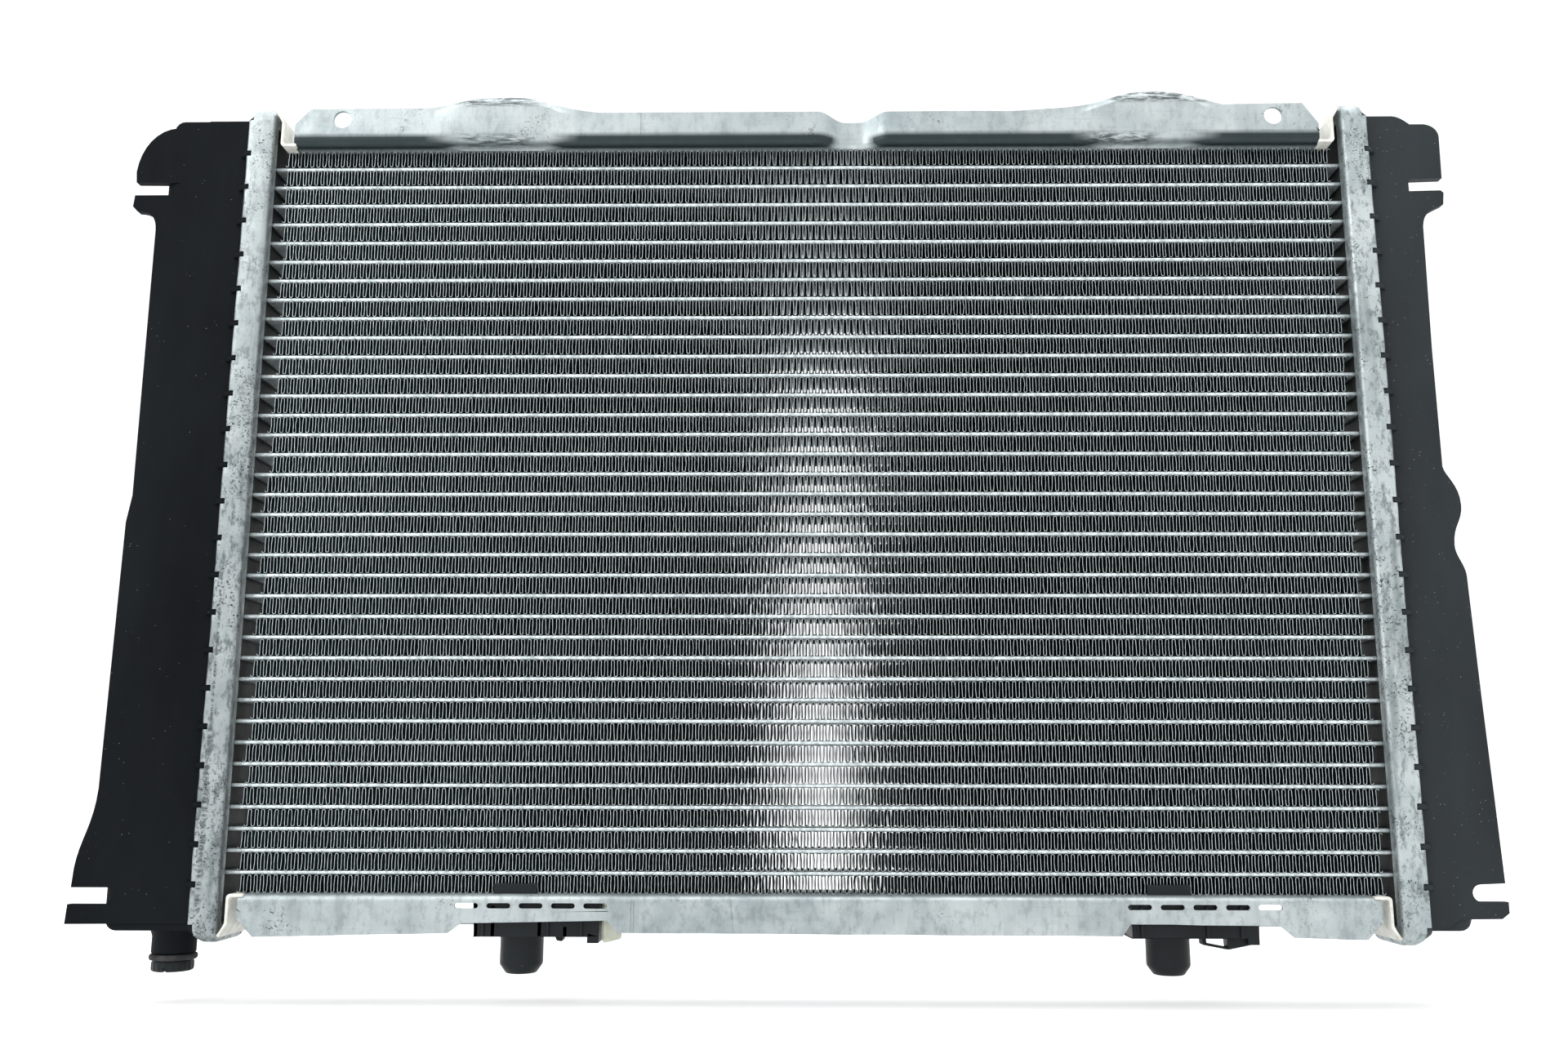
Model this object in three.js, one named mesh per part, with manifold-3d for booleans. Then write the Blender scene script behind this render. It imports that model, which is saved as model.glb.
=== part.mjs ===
// Cross-flow car radiator: a brazed aluminium core between two black plastic tanks.
// Millimetres. +X runs across the core to the right, +Y through it from the front face to the back, +Z up.
// The origin lies midway between the two foot pins, level with their lower ends.
// The pieces are drawn from the core's own reference, x = 0 at mid-core and z = 0 at the lowest tube's
// axis, and the group at the end moves them all to the origin.

import * as THREE from "three";
import { mergeVertices } from "three/addons/utils/BufferGeometryUtils.js";
import Module from "manifold-3d";

const wasm = await Module();
wasm.setup();

// ---------- Driving dimensions ----------

const GAP = 0.3; // clearance left between pieces that touch
const OVERRUN = 1; // how far a cutter, or a shape to be joined, runs past the face it meets

const TUBE_COUNT = 36;
const TUBE_PITCH = 10.4;
const TUBE_HEIGHT = 2;
const TUBE_DEPTH = 23;
const TUBE_WALL = 0.35;
const TUBE_HALF_LENGTH = 288;

const FIN_HALF_LENGTH = 275;
const FIN_FRONT = -11.2;
const FIN_BACK = 12.2;
const FIN_ROWS_PER_PACK = 5;
const FIN_WEB = { halfWidth: 6, thickness: 0.4 }; // joins the rows of one pack, behind the tubes

const CORE_TOP = TUBE_COUNT * TUBE_PITCH - TUBE_HEIGHT / 2; // upper face of the top fin row
const CORE_BOTTOM = TUBE_HEIGHT / 2 - TUBE_PITCH;
const CORE_MIDDLE = ((TUBE_COUNT - 1) * TUBE_PITCH) / 2;

const HEADER = {
  inner: 281, // from mid-core to the rim that faces the core
  outer: 294.5, // to the ends of the crimped tabs
  halfDepth: 20.5,
  halfHeight: 214.5,
  corner: 9,
  sheet: 1.2,
  lip: 2, // how far the crimped tabs reach over the tank's foot
  ridge: 2.2, // the tube field stands this far above the gutter's floor
  ridgeHalfDepth: 12.8,
  ridgeHalfHeight: 190,
  cutCorner: 7, // the wall is cut away across each end
};
const NOTCH = { count: 21, pitch: 18.7, width: 3, depth: 2.7, reach: 4 };

const GASKET = { start: 282.6, thickness: 2, outside: 1.8, width: 4.8, innerCorner: 3 };

const TANK_WALL = 3;
const TANK_HALF_DEPTH = 15.5;
const TANK_CORNER = 9;
const TANK_TOP = 389.5;
const TANK_FOOT = { start: 284.9, end: 293, inset: 1.6, corner: 7.4 };
const PLATE = { start: 295.2, thickness: 4.5 };
const LEFT_FLANK = 340;
const RIGHT_FLANK = 319;
const LEFT_TANK_BOTTOM = -27;
const RIGHT_TANK_BOTTOM = -25.5;
const INLET = { x: -318, z: 340, radius: 16, bore: 13, reach: 47.5 };
const OUTLET = { x: 309.5, z: 30, radius: 14, bore: 11, reach: 47.5 };
const NECK_BEAD = { rise: 1.4, width: 4, fromEnd: 6 };
const NECK_CHAMFER = 1;

const DRAIN = { x: -308.6, radius: 10.3, bore: 7, end: -38.7 };
const PLUG = {
  head: 9.8,
  shank: 6.7,
  headTop: -42,
  end: -47,
  shankTop: -21,
  slotWidth: 1.8,
  slotDepth: 2,
  chamfer: 0.8,
};
const SEAL = { inner: 7.1, outer: 11.1, top: -39, bottom: -41.7, bulge: 0.6 };

const SIDE = {
  sheet: 1.5,
  halfDepth: 19.5,
  halfLength: 270,
  lipStart: 275.7, // inner face of the end lip, which stands beside the header
  lipRise: 14,
  lipBend: 0.5, // the lip's far face turns this much lower than its near one
  hookReach: 280.6,
  hookRise: 20.4,
  hookEdge: 1.3,
};
const PLAIN_FLANGE = 17.6; // height of the back flanges
const HOLE_RADIUS = 4.8;
const HOLES = [
  [-245, 388.2],
  [246, 388.2],
];
const SLOT = { length: 11.4, height: 2.5, pitch: 15.4, count: 5, z: -14.6 };
const SLOT_STARTS = [-161.9, 158];

const FOOT_PINS = [-138.3, 175]; // x of the two pin axes
const FOOT = {
  left: 20.5,
  right: 39.5,
  halfDepth: 16.5,
  top: -11.3,
  bottom: -29.2,
  roof: 2.5,
  rib: 2.4,
  endWidth: 5.5,
  endDrop: 2.8,
  boss: 11.2,
  pocket: 11,
};
const PIN = { radius: 10.4, tipRadius: 7.6, taperStart: -43, end: -47.5 };
const SNAP = { offset: -1.5, width: 20.8, front: 14.3, back: 12.8, top: -4.7, clearance: 0.8 };
const LATCH = { start: 15, end: 33.5, front: 12, back: 6, bottom: -34 };
const STOP_TAB = { x: -94.6, length: 20, height: 23, lean: 19, drop: 0.4 };

const PINS_MIDDLE = (FOOT_PINS[0] + FOOT_PINS[1]) / 2;

const END_STEPS = 3; // facets in each round end of a flat tube or slot
const TURNED_SIDES = 16;
const OUTLINE_STEPS = 3; // straight steps in each curve of a tank's outline
const FLANGE_STEPS = 6; // and in each curve or hole of the top flange

// ---------- Solids from three.js geometry ----------

// A closed three.js geometry as a solid that can be joined and cut.
function solid(geometry) {
  const bare = geometry.clone();
  bare.deleteAttribute("normal");
  bare.deleteAttribute("uv");
  const merged = mergeVertices(bare, 1e-4);
  const vertProperties = new Float32Array(merged.attributes.position.array);
  const triVerts = new Uint32Array(merged.index.array);
  return new wasm.Manifold(new wasm.Mesh({ numProp: 3, vertProperties, triVerts }));
}

function join(first, ...others) {
  return others.reduce((sum, next) => sum.add(next), first);
}

function box(x0, x1, y0, y1, z0, z1) {
  const geometry = new THREE.BoxGeometry(Math.abs(x1 - x0), y1 - y0, z1 - z0);
  geometry.translate((x0 + x1) / 2, (y0 + y1) / 2, (z0 + z1) / 2);
  return solid(geometry);
}

function extrude(shape, depth, curveSegments = 2) {
  return new THREE.ExtrudeGeometry(shape, { depth, curveSegments, bevelEnabled: false, steps: 1 });
}

// A shape drawn in (x, z), with its thickness from yFront to yBack.
function acrossY(shape, yFront, yBack, curveSegments) {
  const geometry = extrude(shape, yBack - yFront, curveSegments);
  return geometry.rotateX(Math.PI / 2).translate(0, yBack, 0);
}

// A shape drawn in (y, z), run along X between two stations in either order.
function alongX(shape, xa, xb, curveSegments) {
  const geometry = extrude(shape, Math.abs(xb - xa), curveSegments);
  const turn = new THREE.Matrix4().makeBasis(
    new THREE.Vector3(0, 1, 0),
    new THREE.Vector3(0, 0, 1),
    new THREE.Vector3(1, 0, 0),
  );
  return geometry.applyMatrix4(turn).translate(Math.min(xa, xb), 0, 0);
}

function polygon(points) {
  return new THREE.Shape(points.map(([u, v]) => new THREE.Vector2(u, v)));
}

function roundedRectangle(halfWidth, low, high, radius) {
  const shape = new THREE.Shape();
  shape.absarc(halfWidth - radius, low + radius, radius, -Math.PI / 2, 0);
  shape.absarc(halfWidth - radius, high - radius, radius, 0, Math.PI / 2);
  shape.absarc(radius - halfWidth, high - radius, radius, Math.PI / 2, Math.PI);
  shape.absarc(radius - halfWidth, low + radius, radius, Math.PI, 1.5 * Math.PI);
  shape.closePath();
  return shape;
}

// A flat bar with round ends, long in its first direction.
function stadium(width, height, u = 0, v = 0) {
  const r = height / 2;
  const points = [];
  for (const end of [1, -1]) {
    for (let step = 0; step <= END_STEPS; step += 1) {
      const angle = Math.PI * (step / END_STEPS - 0.5);
      points.push([u + end * (width / 2 - r + r * Math.cos(angle)), v + end * r * Math.sin(angle)]);
    }
  }
  return polygon(points);
}

// A profile of (radius, height), lowest point first, turned about an upright axis.
function turned(profile) {
  return turnedAlongY(profile).rotateX(Math.PI / 2);
}

// The same about an axis along Y, heights growing towards the back.
function turnedAlongY(profile) {
  const points = profile.map(([r, h]) => new THREE.Vector2(r, h));
  return new THREE.LatheGeometry(points, TURNED_SIDES);
}

// ---------- Materials ----------

const bareAluminium = new THREE.MeshStandardMaterial({ color: 0xc6d0d2, roughness: 0.42, metalness: 0.85 });
const tubeAluminium = new THREE.MeshStandardMaterial({ color: 0xbcc6c8, roughness: 0.45, metalness: 0.85 });
const finAluminium = new THREE.MeshStandardMaterial({ color: 0x6f7a7d, roughness: 0.55, metalness: 0.8 });
const tankPlastic = new THREE.MeshStandardMaterial({ color: 0x1e2226, roughness: 0.6, metalness: 0 });
const footPlastic = new THREE.MeshStandardMaterial({ color: 0x24282b, roughness: 0.45, metalness: 0 });
const rubber = new THREE.MeshStandardMaterial({ color: 0x121314, roughness: 0.85, metalness: 0 });

const radiator = new THREE.Group();
radiator.name = "radiator";
const pieces = new THREE.Group();
pieces.position.set(-PINS_MIDDLE, 0, -PIN.end);
radiator.add(pieces);

function addMesh(name, geometry, material) {
  const mesh = new THREE.Mesh(geometry, material);
  mesh.name = name;
  pieces.add(mesh);
  return mesh;
}

function addSolid(name, body, material) {
  const { vertProperties, triVerts } = body.getMesh();
  const geometry = new THREE.BufferGeometry();
  geometry.setAttribute("position", new THREE.BufferAttribute(new Float32Array(vertProperties), 3));
  geometry.setIndex(new THREE.BufferAttribute(new Uint32Array(triVerts), 1));
  geometry.computeVertexNormals();
  return addMesh(name, geometry, material);
}

function twoDigits(number) {
  return String(number).padStart(2, "0");
}

// ---------- Core ----------

// Flat tubes, open at both ends, numbered from the top.
const tubeSection = stadium(TUBE_DEPTH, TUBE_HEIGHT);
tubeSection.holes.push(stadium(TUBE_DEPTH - 2 * TUBE_WALL, TUBE_HEIGHT - 2 * TUBE_WALL));
for (let i = 0; i < TUBE_COUNT; i += 1) {
  const tube = addMesh(
    `tube_${twoDigits(i + 1)}`,
    alongX(tubeSection, -TUBE_HALF_LENGTH, TUBE_HALF_LENGTH),
    tubeAluminium,
  );
  tube.position.z = (TUBE_COUNT - 1 - i) * TUBE_PITCH;
}

// The corrugated strips between the tubes, as plain bars. A thin web behind the tubes joins a pack's bars.
function finPack(lowestRow, rowCount) {
  const height = TUBE_PITCH - TUBE_HEIGHT - 2 * GAP;
  const low = CORE_BOTTOM + GAP + lowestRow * TUBE_PITCH;
  const high = low + (rowCount - 1) * TUBE_PITCH + height;
  const { halfWidth, thickness } = FIN_WEB;
  let pack = box(-halfWidth, halfWidth, FIN_BACK - thickness, FIN_BACK, low, high);
  for (let row = 0; row < rowCount; row += 1) {
    const z = low + row * TUBE_PITCH;
    pack = pack.add(box(-FIN_HALF_LENGTH, FIN_HALF_LENGTH, FIN_FRONT, FIN_BACK, z, z + height));
  }
  return pack;
}

const finRowCount = TUBE_COUNT + 1;
for (let first = 0, pack = 1; first < finRowCount; first += FIN_ROWS_PER_PACK, pack += 1) {
  const rows = Math.min(FIN_ROWS_PER_PACK, finRowCount - first);
  addSolid(`fin_pack_${twoDigits(pack)}`, finPack(first, rows), finAluminium);
}

// ---------- Headers and gaskets ----------

function headerOutline(inset, radius) {
  const halfDepth = HEADER.halfDepth - inset;
  const halfHeight = HEADER.halfHeight - inset;
  return roundedRectangle(halfDepth, CORE_MIDDLE - halfHeight, CORE_MIDDLE + halfHeight, radius);
}

// A tube plate: a tray with a raised, slotted middle and a wall whose notched tabs fold over the tank's foot.
function header(side) {
  const { inner, outer, sheet, lip, corner, ridge } = HEADER;
  const floor = inner + sheet;
  const ridgeTop = floor + ridge;
  const tray = solid(alongX(headerOutline(0, corner), side * inner, side * outer));
  const inside = headerOutline(sheet, corner - sheet);
  const hollow = solid(alongX(inside, side * floor, side * (outer - sheet)));
  const mouthOutline = headerOutline(sheet + lip, corner - sheet - lip);
  const mouth = solid(alongX(mouthOutline, side * (outer - 2 * sheet), side * (outer + OVERRUN)));
  const ridgeSteps = [
    [0, inner + sheet / 2, ridgeTop],
    [sheet, inner - OVERRUN, ridgeTop - sheet],
  ];
  const [ridgeBlock, recess] = ridgeSteps.map(([inset, near, far]) => {
    const halfDepth = HEADER.ridgeHalfDepth - inset;
    const halfHeight = HEADER.ridgeHalfHeight - inset;
    const [low, high] = [CORE_MIDDLE - halfHeight, CORE_MIDDLE + halfHeight];
    return box(side * near, side * far, -halfDepth, halfDepth, low, high);
  });
  const slotShapes = [];
  for (let i = 0; i < TUBE_COUNT; i += 1) {
    slotShapes.push(stadium(TUBE_DEPTH + 2 * GAP, TUBE_HEIGHT + 2 * GAP, 0, i * TUBE_PITCH));
  }
  const slots = solid(alongX(slotShapes, side * (inner - OVERRUN), side * (ridgeTop + OVERRUN)));
  let plate = tray.subtract(hollow).subtract(mouth).add(ridgeBlock).subtract(recess).subtract(slots);
  for (let i = 0; i < NOTCH.count; i += 1) {
    const z = CORE_MIDDLE + (i - (NOTCH.count - 1) / 2) * NOTCH.pitch;
    const x0 = side * (outer - NOTCH.depth);
    const x1 = side * (outer + OVERRUN);
    const deep = HEADER.halfDepth + OVERRUN;
    const shallow = HEADER.halfDepth - NOTCH.reach;
    for (const [y0, y1] of [
      [-deep, -shallow],
      [shallow, deep],
    ]) {
      plate = plate.subtract(box(x0, x1, y0, y1, z - NOTCH.width / 2, z + NOTCH.width / 2));
    }
  }
  for (const end of [-1, 1]) {
    const z = CORE_MIDDLE + end * HEADER.halfHeight;
    const wedge = polygon([
      [side * (outer + OVERRUN), z - end * (HEADER.cutCorner + OVERRUN)],
      [side * (outer + OVERRUN), z + end * OVERRUN],
      [side * (outer - HEADER.cutCorner), z + end * OVERRUN],
    ]);
    const halfDepth = HEADER.halfDepth + OVERRUN;
    plate = plate.subtract(solid(acrossY(wedge, -halfDepth, halfDepth)));
  }
  return plate;
}

// The rubber seal that lies in the header's gutter, under the tank's foot.
function gasket(side) {
  const ring = headerOutline(GASKET.outside, HEADER.corner - GASKET.outside);
  const inside = GASKET.outside + GASKET.width;
  ring.holes.push(headerOutline(inside, GASKET.innerCorner));
  return alongX(ring, side * GASKET.start, side * (GASKET.start + GASKET.thickness));
}

for (const [name, side] of [
  ["left", -1],
  ["right", 1],
]) {
  addSolid(`header_${name}`, header(side), bareAluminium);
  addMesh(`gasket_${name}`, gasket(side), rubber);
}

// ---------- Tanks ----------

// The flat front wall of each tank with its slotted ears, as distance from mid-core against height.
function leftPlateOutline() {
  const shape = new THREE.Shape();
  shape.moveTo(PLATE.start, TANK_TOP);
  shape.lineTo(317, TANK_TOP);
  shape.lineTo(319.5, 386);
  shape.lineTo(334, 385.7);
  shape.bezierCurveTo(345, 385, 353, 375, 354.3, 361);
  shape.lineTo(353.8, 355);
  shape.lineTo(331, 354.7);
  shape.lineTo(331, 347.8);
  shape.lineTo(354, 347.8);
  shape.lineTo(354.6, 341.5);
  shape.lineTo(352, 338.8);
  shape.bezierCurveTo(345, 338.5, 341.6, 336, 341.5, 328);
  shape.lineTo(341.2, 186);
  shape.lineTo(343.4, 172);
  shape.lineTo(345, 40);
  shape.bezierCurveTo(346, 22, 352, 16, 353.6, 2);
  shape.lineTo(354.2, -6.9);
  shape.lineTo(336.6, -6.9);
  shape.absarc(336.6, -10.8, 3.9, Math.PI / 2, 1.5 * Math.PI);
  shape.lineTo(355.2, -14.7);
  shape.lineTo(355.8, -24);
  shape.lineTo(PLATE.start, -23.6);
  shape.closePath();
  return shape;
}

function rightPlateOutline() {
  const shape = new THREE.Shape();
  shape.moveTo(PLATE.start, TANK_TOP);
  shape.lineTo(309.6, TANK_TOP);
  shape.bezierCurveTo(313, 389.3, 316, 387, 318.5, 384.9);
  shape.lineTo(326, 384.9);
  shape.bezierCurveTo(330, 384.3, 333, 382, 333.4, 378);
  shape.lineTo(333, 354.5);
  shape.lineTo(315.2, 353.9);
  shape.lineTo(315.2, 347.4);
  shape.lineTo(331.8, 347.8);
  shape.lineTo(333.3, 346.5);
  shape.lineTo(332.6, 340);
  shape.bezierCurveTo(326, 336.5, 322, 336, 321.2, 328);
  shape.lineTo(320.2, 262);
  shape.lineTo(320.3, 200);
  shape.bezierCurveTo(321, 195, 327.9, 191, 327.9, 180);
  shape.bezierCurveTo(327.9, 172, 323, 170, 322.9, 160);
  shape.bezierCurveTo(322.9, 154, 327, 151, 327.6, 144.6);
  shape.lineTo(329.5, 84);
  shape.lineTo(332.8, -3.5);
  shape.lineTo(321, -4);
  shape.absarc(321, -8, 4, Math.PI / 2, 1.5 * Math.PI);
  shape.lineTo(333.6, -12);
  shape.lineTo(333.6, -17.2);
  shape.lineTo(330, -19.9);
  shape.lineTo(310, -20.2);
  shape.lineTo(305, -24);
  shape.lineTo(PLATE.start, -25);
  shape.closePath();
  return shape;
}

// Turns an outline drawn as distance from mid-core into one in x for the given side.
function onSide(shape, side) {
  return polygon(shape.getPoints(OUTLINE_STEPS).map(({ x, y }) => [side * x, y]));
}

// The hollow body between the foot and the outer flank, shrunk by inset for the room inside it.
function tankBody(side, flank, bottom, inset) {
  const start = inset ? TANK_FOOT.start - OVERRUN : TANK_FOOT.start;
  const end = flank - inset;
  const halfDepth = TANK_HALF_DEPTH - inset;
  const radius = TANK_CORNER - inset;
  const section = new THREE.Shape();
  section.moveTo(start, halfDepth);
  section.lineTo(start, -halfDepth);
  section.absarc(end - radius, radius - halfDepth, radius, -Math.PI / 2, 0);
  section.absarc(end - radius, halfDepth - radius, radius, 0, Math.PI / 2);
  section.closePath();
  const low = bottom + inset;
  const high = TANK_TOP - inset;
  const column = extrude(onSide(section, side), high - low).translate(0, 0, low);
  const front = new THREE.Shape();
  front.moveTo(start - OVERRUN, high);
  front.lineTo(start - OVERRUN, low);
  front.absarc(end - radius, low + radius, radius, -Math.PI / 2, 0);
  front.absarc(end - radius, high - radius, radius, 0, Math.PI / 2);
  front.closePath();
  const rounding = acrossY(onSide(front, side), -halfDepth - OVERRUN, halfDepth + OVERRUN);
  return solid(column).intersect(solid(rounding));
}

function hoseNeck({ x, z, radius, reach }) {
  const { rise, width, fromEnd } = NECK_BEAD;
  const wallInside = TANK_HALF_DEPTH - TANK_WALL / 2;
  const profile = [
    [0, wallInside],
    [radius, wallInside],
    [radius, reach - fromEnd - width],
    [radius + rise, reach - fromEnd - width / 2],
    [radius, reach - fromEnd],
    [radius, reach - NECK_CHAMFER],
    [radius - NECK_CHAMFER, reach],
    [0, reach],
  ];
  return solid(turnedAlongY(profile).translate(x, 0, z));
}

function neckBore({ x, z, bore, reach }) {
  const from = TANK_HALF_DEPTH - TANK_WALL - OVERRUN;
  const profile = [
    [0, from],
    [bore, from],
    [bore, reach + OVERRUN],
    [0, reach + OVERRUN],
  ];
  return solid(turnedAlongY(profile).translate(x, 0, z));
}

function tank(side, flank, bottom, outline, neck) {
  const footShape = headerOutline(TANK_FOOT.inset, TANK_FOOT.corner);
  const foot = solid(alongX(footShape, side * TANK_FOOT.start, side * TANK_FOOT.end));
  const body = tankBody(side, flank, bottom, 0);
  const plate = solid(
    acrossY(onSide(outline, side), -TANK_HALF_DEPTH, PLATE.thickness - TANK_HALF_DEPTH),
  );
  const shell = join(body, foot, plate, hoseNeck(neck));
  const room = tankBody(side, flank, bottom, TANK_WALL);
  return shell.subtract(room).subtract(neckBore(neck));
}

function drainSpigot() {
  const top = LEFT_TANK_BOTTOM + TANK_WALL / 2;
  const { radius, end } = DRAIN;
  const profile = [
    [0, end],
    [radius, end],
    [radius, top],
    [0, top],
  ];
  return solid(turned(profile).translate(DRAIN.x, 0, 0));
}

function drainBore() {
  const low = DRAIN.end - OVERRUN;
  const high = LEFT_TANK_BOTTOM + TANK_WALL + OVERRUN;
  const profile = [
    [0, low],
    [DRAIN.bore, low],
    [DRAIN.bore, high],
    [0, high],
  ];
  return solid(turned(profile).translate(DRAIN.x, 0, 0));
}

const leftTank = tank(-1, LEFT_FLANK, LEFT_TANK_BOTTOM, leftPlateOutline(), INLET);
addSolid("tank_left", leftTank.add(drainSpigot()).subtract(drainBore()), tankPlastic);
addSolid("tank_right", tank(1, RIGHT_FLANK, RIGHT_TANK_BOTTOM, rightPlateOutline(), OUTLET), tankPlastic);

// ---------- Drain plug ----------

const plugBody = solid(
  turned([
    [0, PLUG.end],
    [PLUG.head - PLUG.chamfer, PLUG.end],
    [PLUG.head, PLUG.end + PLUG.chamfer],
    [PLUG.head, PLUG.headTop],
    [PLUG.shank, PLUG.headTop],
    [PLUG.shank, PLUG.shankTop - PLUG.chamfer],
    [PLUG.shank - PLUG.chamfer, PLUG.shankTop],
    [0, PLUG.shankTop],
  ]).translate(DRAIN.x, 0, 0),
);
const plugSlot = box(
  DRAIN.x - PLUG.slotWidth / 2,
  DRAIN.x + PLUG.slotWidth / 2,
  -PLUG.head - OVERRUN,
  PLUG.head + OVERRUN,
  PLUG.end - OVERRUN,
  PLUG.end + PLUG.slotDepth,
);
addSolid("drain_plug", plugBody.subtract(plugSlot), footPlastic);

const sealMiddle = (SEAL.top + SEAL.bottom) / 2;
addMesh(
  "drain_plug_seal",
  turned([
    [SEAL.inner, SEAL.bottom],
    [SEAL.outer - SEAL.bulge, SEAL.bottom],
    [SEAL.outer, sealMiddle],
    [SEAL.outer - SEAL.bulge, SEAL.top],
    [SEAL.inner, SEAL.top],
    [SEAL.inner, SEAL.bottom],
  ]).translate(DRAIN.x, 0, 0),
  rubber,
);

// ---------- Side plates ----------

// The lip at one end of a side plate: it leaves the core, turns along the header and leans towards it.
// up is 1 for the top plate and -1 for the bottom one, and from is the face that meets the fins.
function endLip(side, up, from) {
  const { sheet, halfLength, lipStart, lipRise, lipBend, hookReach, hookRise, hookEdge, halfDepth } = SIDE;
  const points = [
    [halfLength - OVERRUN, 0],
    [lipStart + sheet, 0],
    [lipStart + sheet, lipRise - lipBend],
    [hookReach, hookRise - hookEdge],
    [hookReach - hookEdge, hookRise],
    [lipStart, lipRise],
    [lipStart, sheet],
    [halfLength - OVERRUN, sheet],
  ];
  const outline = polygon(points.map(([x, rise]) => [side * x, from + up * rise]));
  return solid(acrossY(outline, -halfDepth, halfDepth));
}

function sidePlate(frontFlange, up, from) {
  const { sheet, halfDepth, halfLength } = SIDE;
  const levels = [from, from + up * sheet].sort((a, b) => a - b);
  const base = box(-halfLength, halfLength, -halfDepth, halfDepth, ...levels);
  const back = [from, from + up * PLAIN_FLANGE].sort((a, b) => a - b);
  const backFlange = box(-halfLength, halfLength, halfDepth - sheet, halfDepth, ...back);
  const front = solid(acrossY(frontFlange, -halfDepth, sheet - halfDepth, FLANGE_STEPS));
  return join(base, backFlange, front, endLip(-1, up, from), endLip(1, up, from));
}

function topFlange() {
  const shape = new THREE.Shape();
  shape.moveTo(-270, CORE_TOP);
  shape.lineTo(269.5, CORE_TOP);
  shape.lineTo(269.5, 383.5);
  shape.lineTo(261.5, 395.2);
  shape.lineTo(220, 394.6);
  shape.bezierCurveTo(206, 398, 203, 402.8, 183, 402.8);
  shape.bezierCurveTo(163, 402.8, 158, 395, 138, 393.4);
  shape.lineTo(110, 391.5);
  shape.lineTo(-109, 391.5);
  shape.bezierCurveTo(-132, 393, -136, 400.8, -156, 401);
  shape.bezierCurveTo(-184, 401.2, -186, 396.5, -198, 394.5);
  shape.lineTo(-262, 394.2);
  shape.lineTo(-270, 385.5);
  shape.closePath();
  for (const [x, z] of HOLES) {
    shape.holes.push(new THREE.Path().absarc(x, z, HOLE_RADIUS, 0, 2 * Math.PI));
  }
  return shape;
}

function bottomFlange() {
  const shape = polygon([
    [272.3, CORE_BOTTOM],
    [-271.5, CORE_BOTTOM],
    [-271.5, -20.7],
    [-263.4, -29.2],
    [-170.3, -27.2],
    [-164, -22.7],
    [-94.5, -21.3],
    [-89.9, -27],
    [149.3, -27.8],
    [153.3, -22.3],
    [223.7, -22.9],
    [230.2, -28.3],
    [264.4, -29.2],
    [272.3, -21],
  ]);
  for (const start of SLOT_STARTS) {
    for (let i = 0; i < SLOT.count; i += 1) {
      shape.holes.push(stadium(SLOT.length, SLOT.height, start + i * SLOT.pitch, SLOT.z));
    }
  }
  return shape;
}

addSolid("top_side_plate", sidePlate(topFlange(), 1, CORE_TOP), bareAluminium);

// The bottom plate also has a slot for each foot's snap tab, and a tab bent down at the left foot's end.
let bottomPlate = sidePlate(bottomFlange(), -1, CORE_BOTTOM);
for (const pin of FOOT_PINS) {
  const middle = pin + SNAP.offset;
  const half = SNAP.width / 2 + SNAP.clearance;
  const front = -SNAP.front - SNAP.clearance;
  const back = SNAP.clearance - SNAP.back;
  const low = CORE_BOTTOM - SIDE.sheet - OVERRUN;
  bottomPlate = bottomPlate.subtract(
    box(middle - half, middle + half, front, back, low, CORE_BOTTOM + OVERRUN),
  );
}
const stopTab = new THREE.BoxGeometry(SIDE.sheet, STOP_TAB.length, STOP_TAB.height);
stopTab.rotateZ(THREE.MathUtils.degToRad(-STOP_TAB.lean));
stopTab.translate(STOP_TAB.x, 0, CORE_BOTTOM - STOP_TAB.height / 2 - STOP_TAB.drop);
addSolid("bottom_side_plate", bottomPlate.add(solid(stopTab)), bareAluminium);

// ---------- Feet ----------

// A moulded foot: a ribbed block inside the bottom plate, a snap tab up through it and a pin below.
function foot(pin) {
  const { left, right, halfDepth, top, bottom, roof, rib, boss, pocket, endWidth, endDrop } = FOOT;
  const x0 = pin - left;
  const x1 = pin + right;
  const body = box(x0, x1, -halfDepth, halfDepth, bottom, top);
  let block = body.add(box(x1 - endWidth, x1, -halfDepth, halfDepth, bottom - endDrop, top));
  const pockets = [
    [x0 + rib, pin - boss],
    [pin + boss, pin + boss + pocket],
    [pin + boss + pocket + rib, x1 - rib],
  ];
  const halves = [
    [rib - halfDepth, -rib / 2],
    [rib / 2, halfDepth - rib],
  ];
  for (const [a, b] of pockets) {
    for (const [y0, y1] of halves) {
      block = block.subtract(box(a, b, y0, y1, bottom - endDrop - OVERRUN, top - roof));
    }
  }
  const weld = top - OVERRUN;
  const pinBody = turned([
    [0, PIN.end],
    [PIN.tipRadius, PIN.end],
    [PIN.radius, PIN.taperStart],
    [PIN.radius, weld],
    [0, weld],
  ]).translate(pin, 0, 0);
  const middle = pin + SNAP.offset;
  const half = SNAP.width / 2;
  const snap = box(middle - half, middle + half, -SNAP.front, -SNAP.back, weld, SNAP.top);
  const latch = box(pin + LATCH.start, pin + LATCH.end, -LATCH.front, -LATCH.back, LATCH.bottom, weld);
  return join(block, latch, solid(pinBody), snap);
}

addSolid("foot_left", foot(FOOT_PINS[0]), footPlastic);
addSolid("foot_right", foot(FOOT_PINS[1]), footPlastic);

export default radiator;
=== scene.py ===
import math

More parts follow.
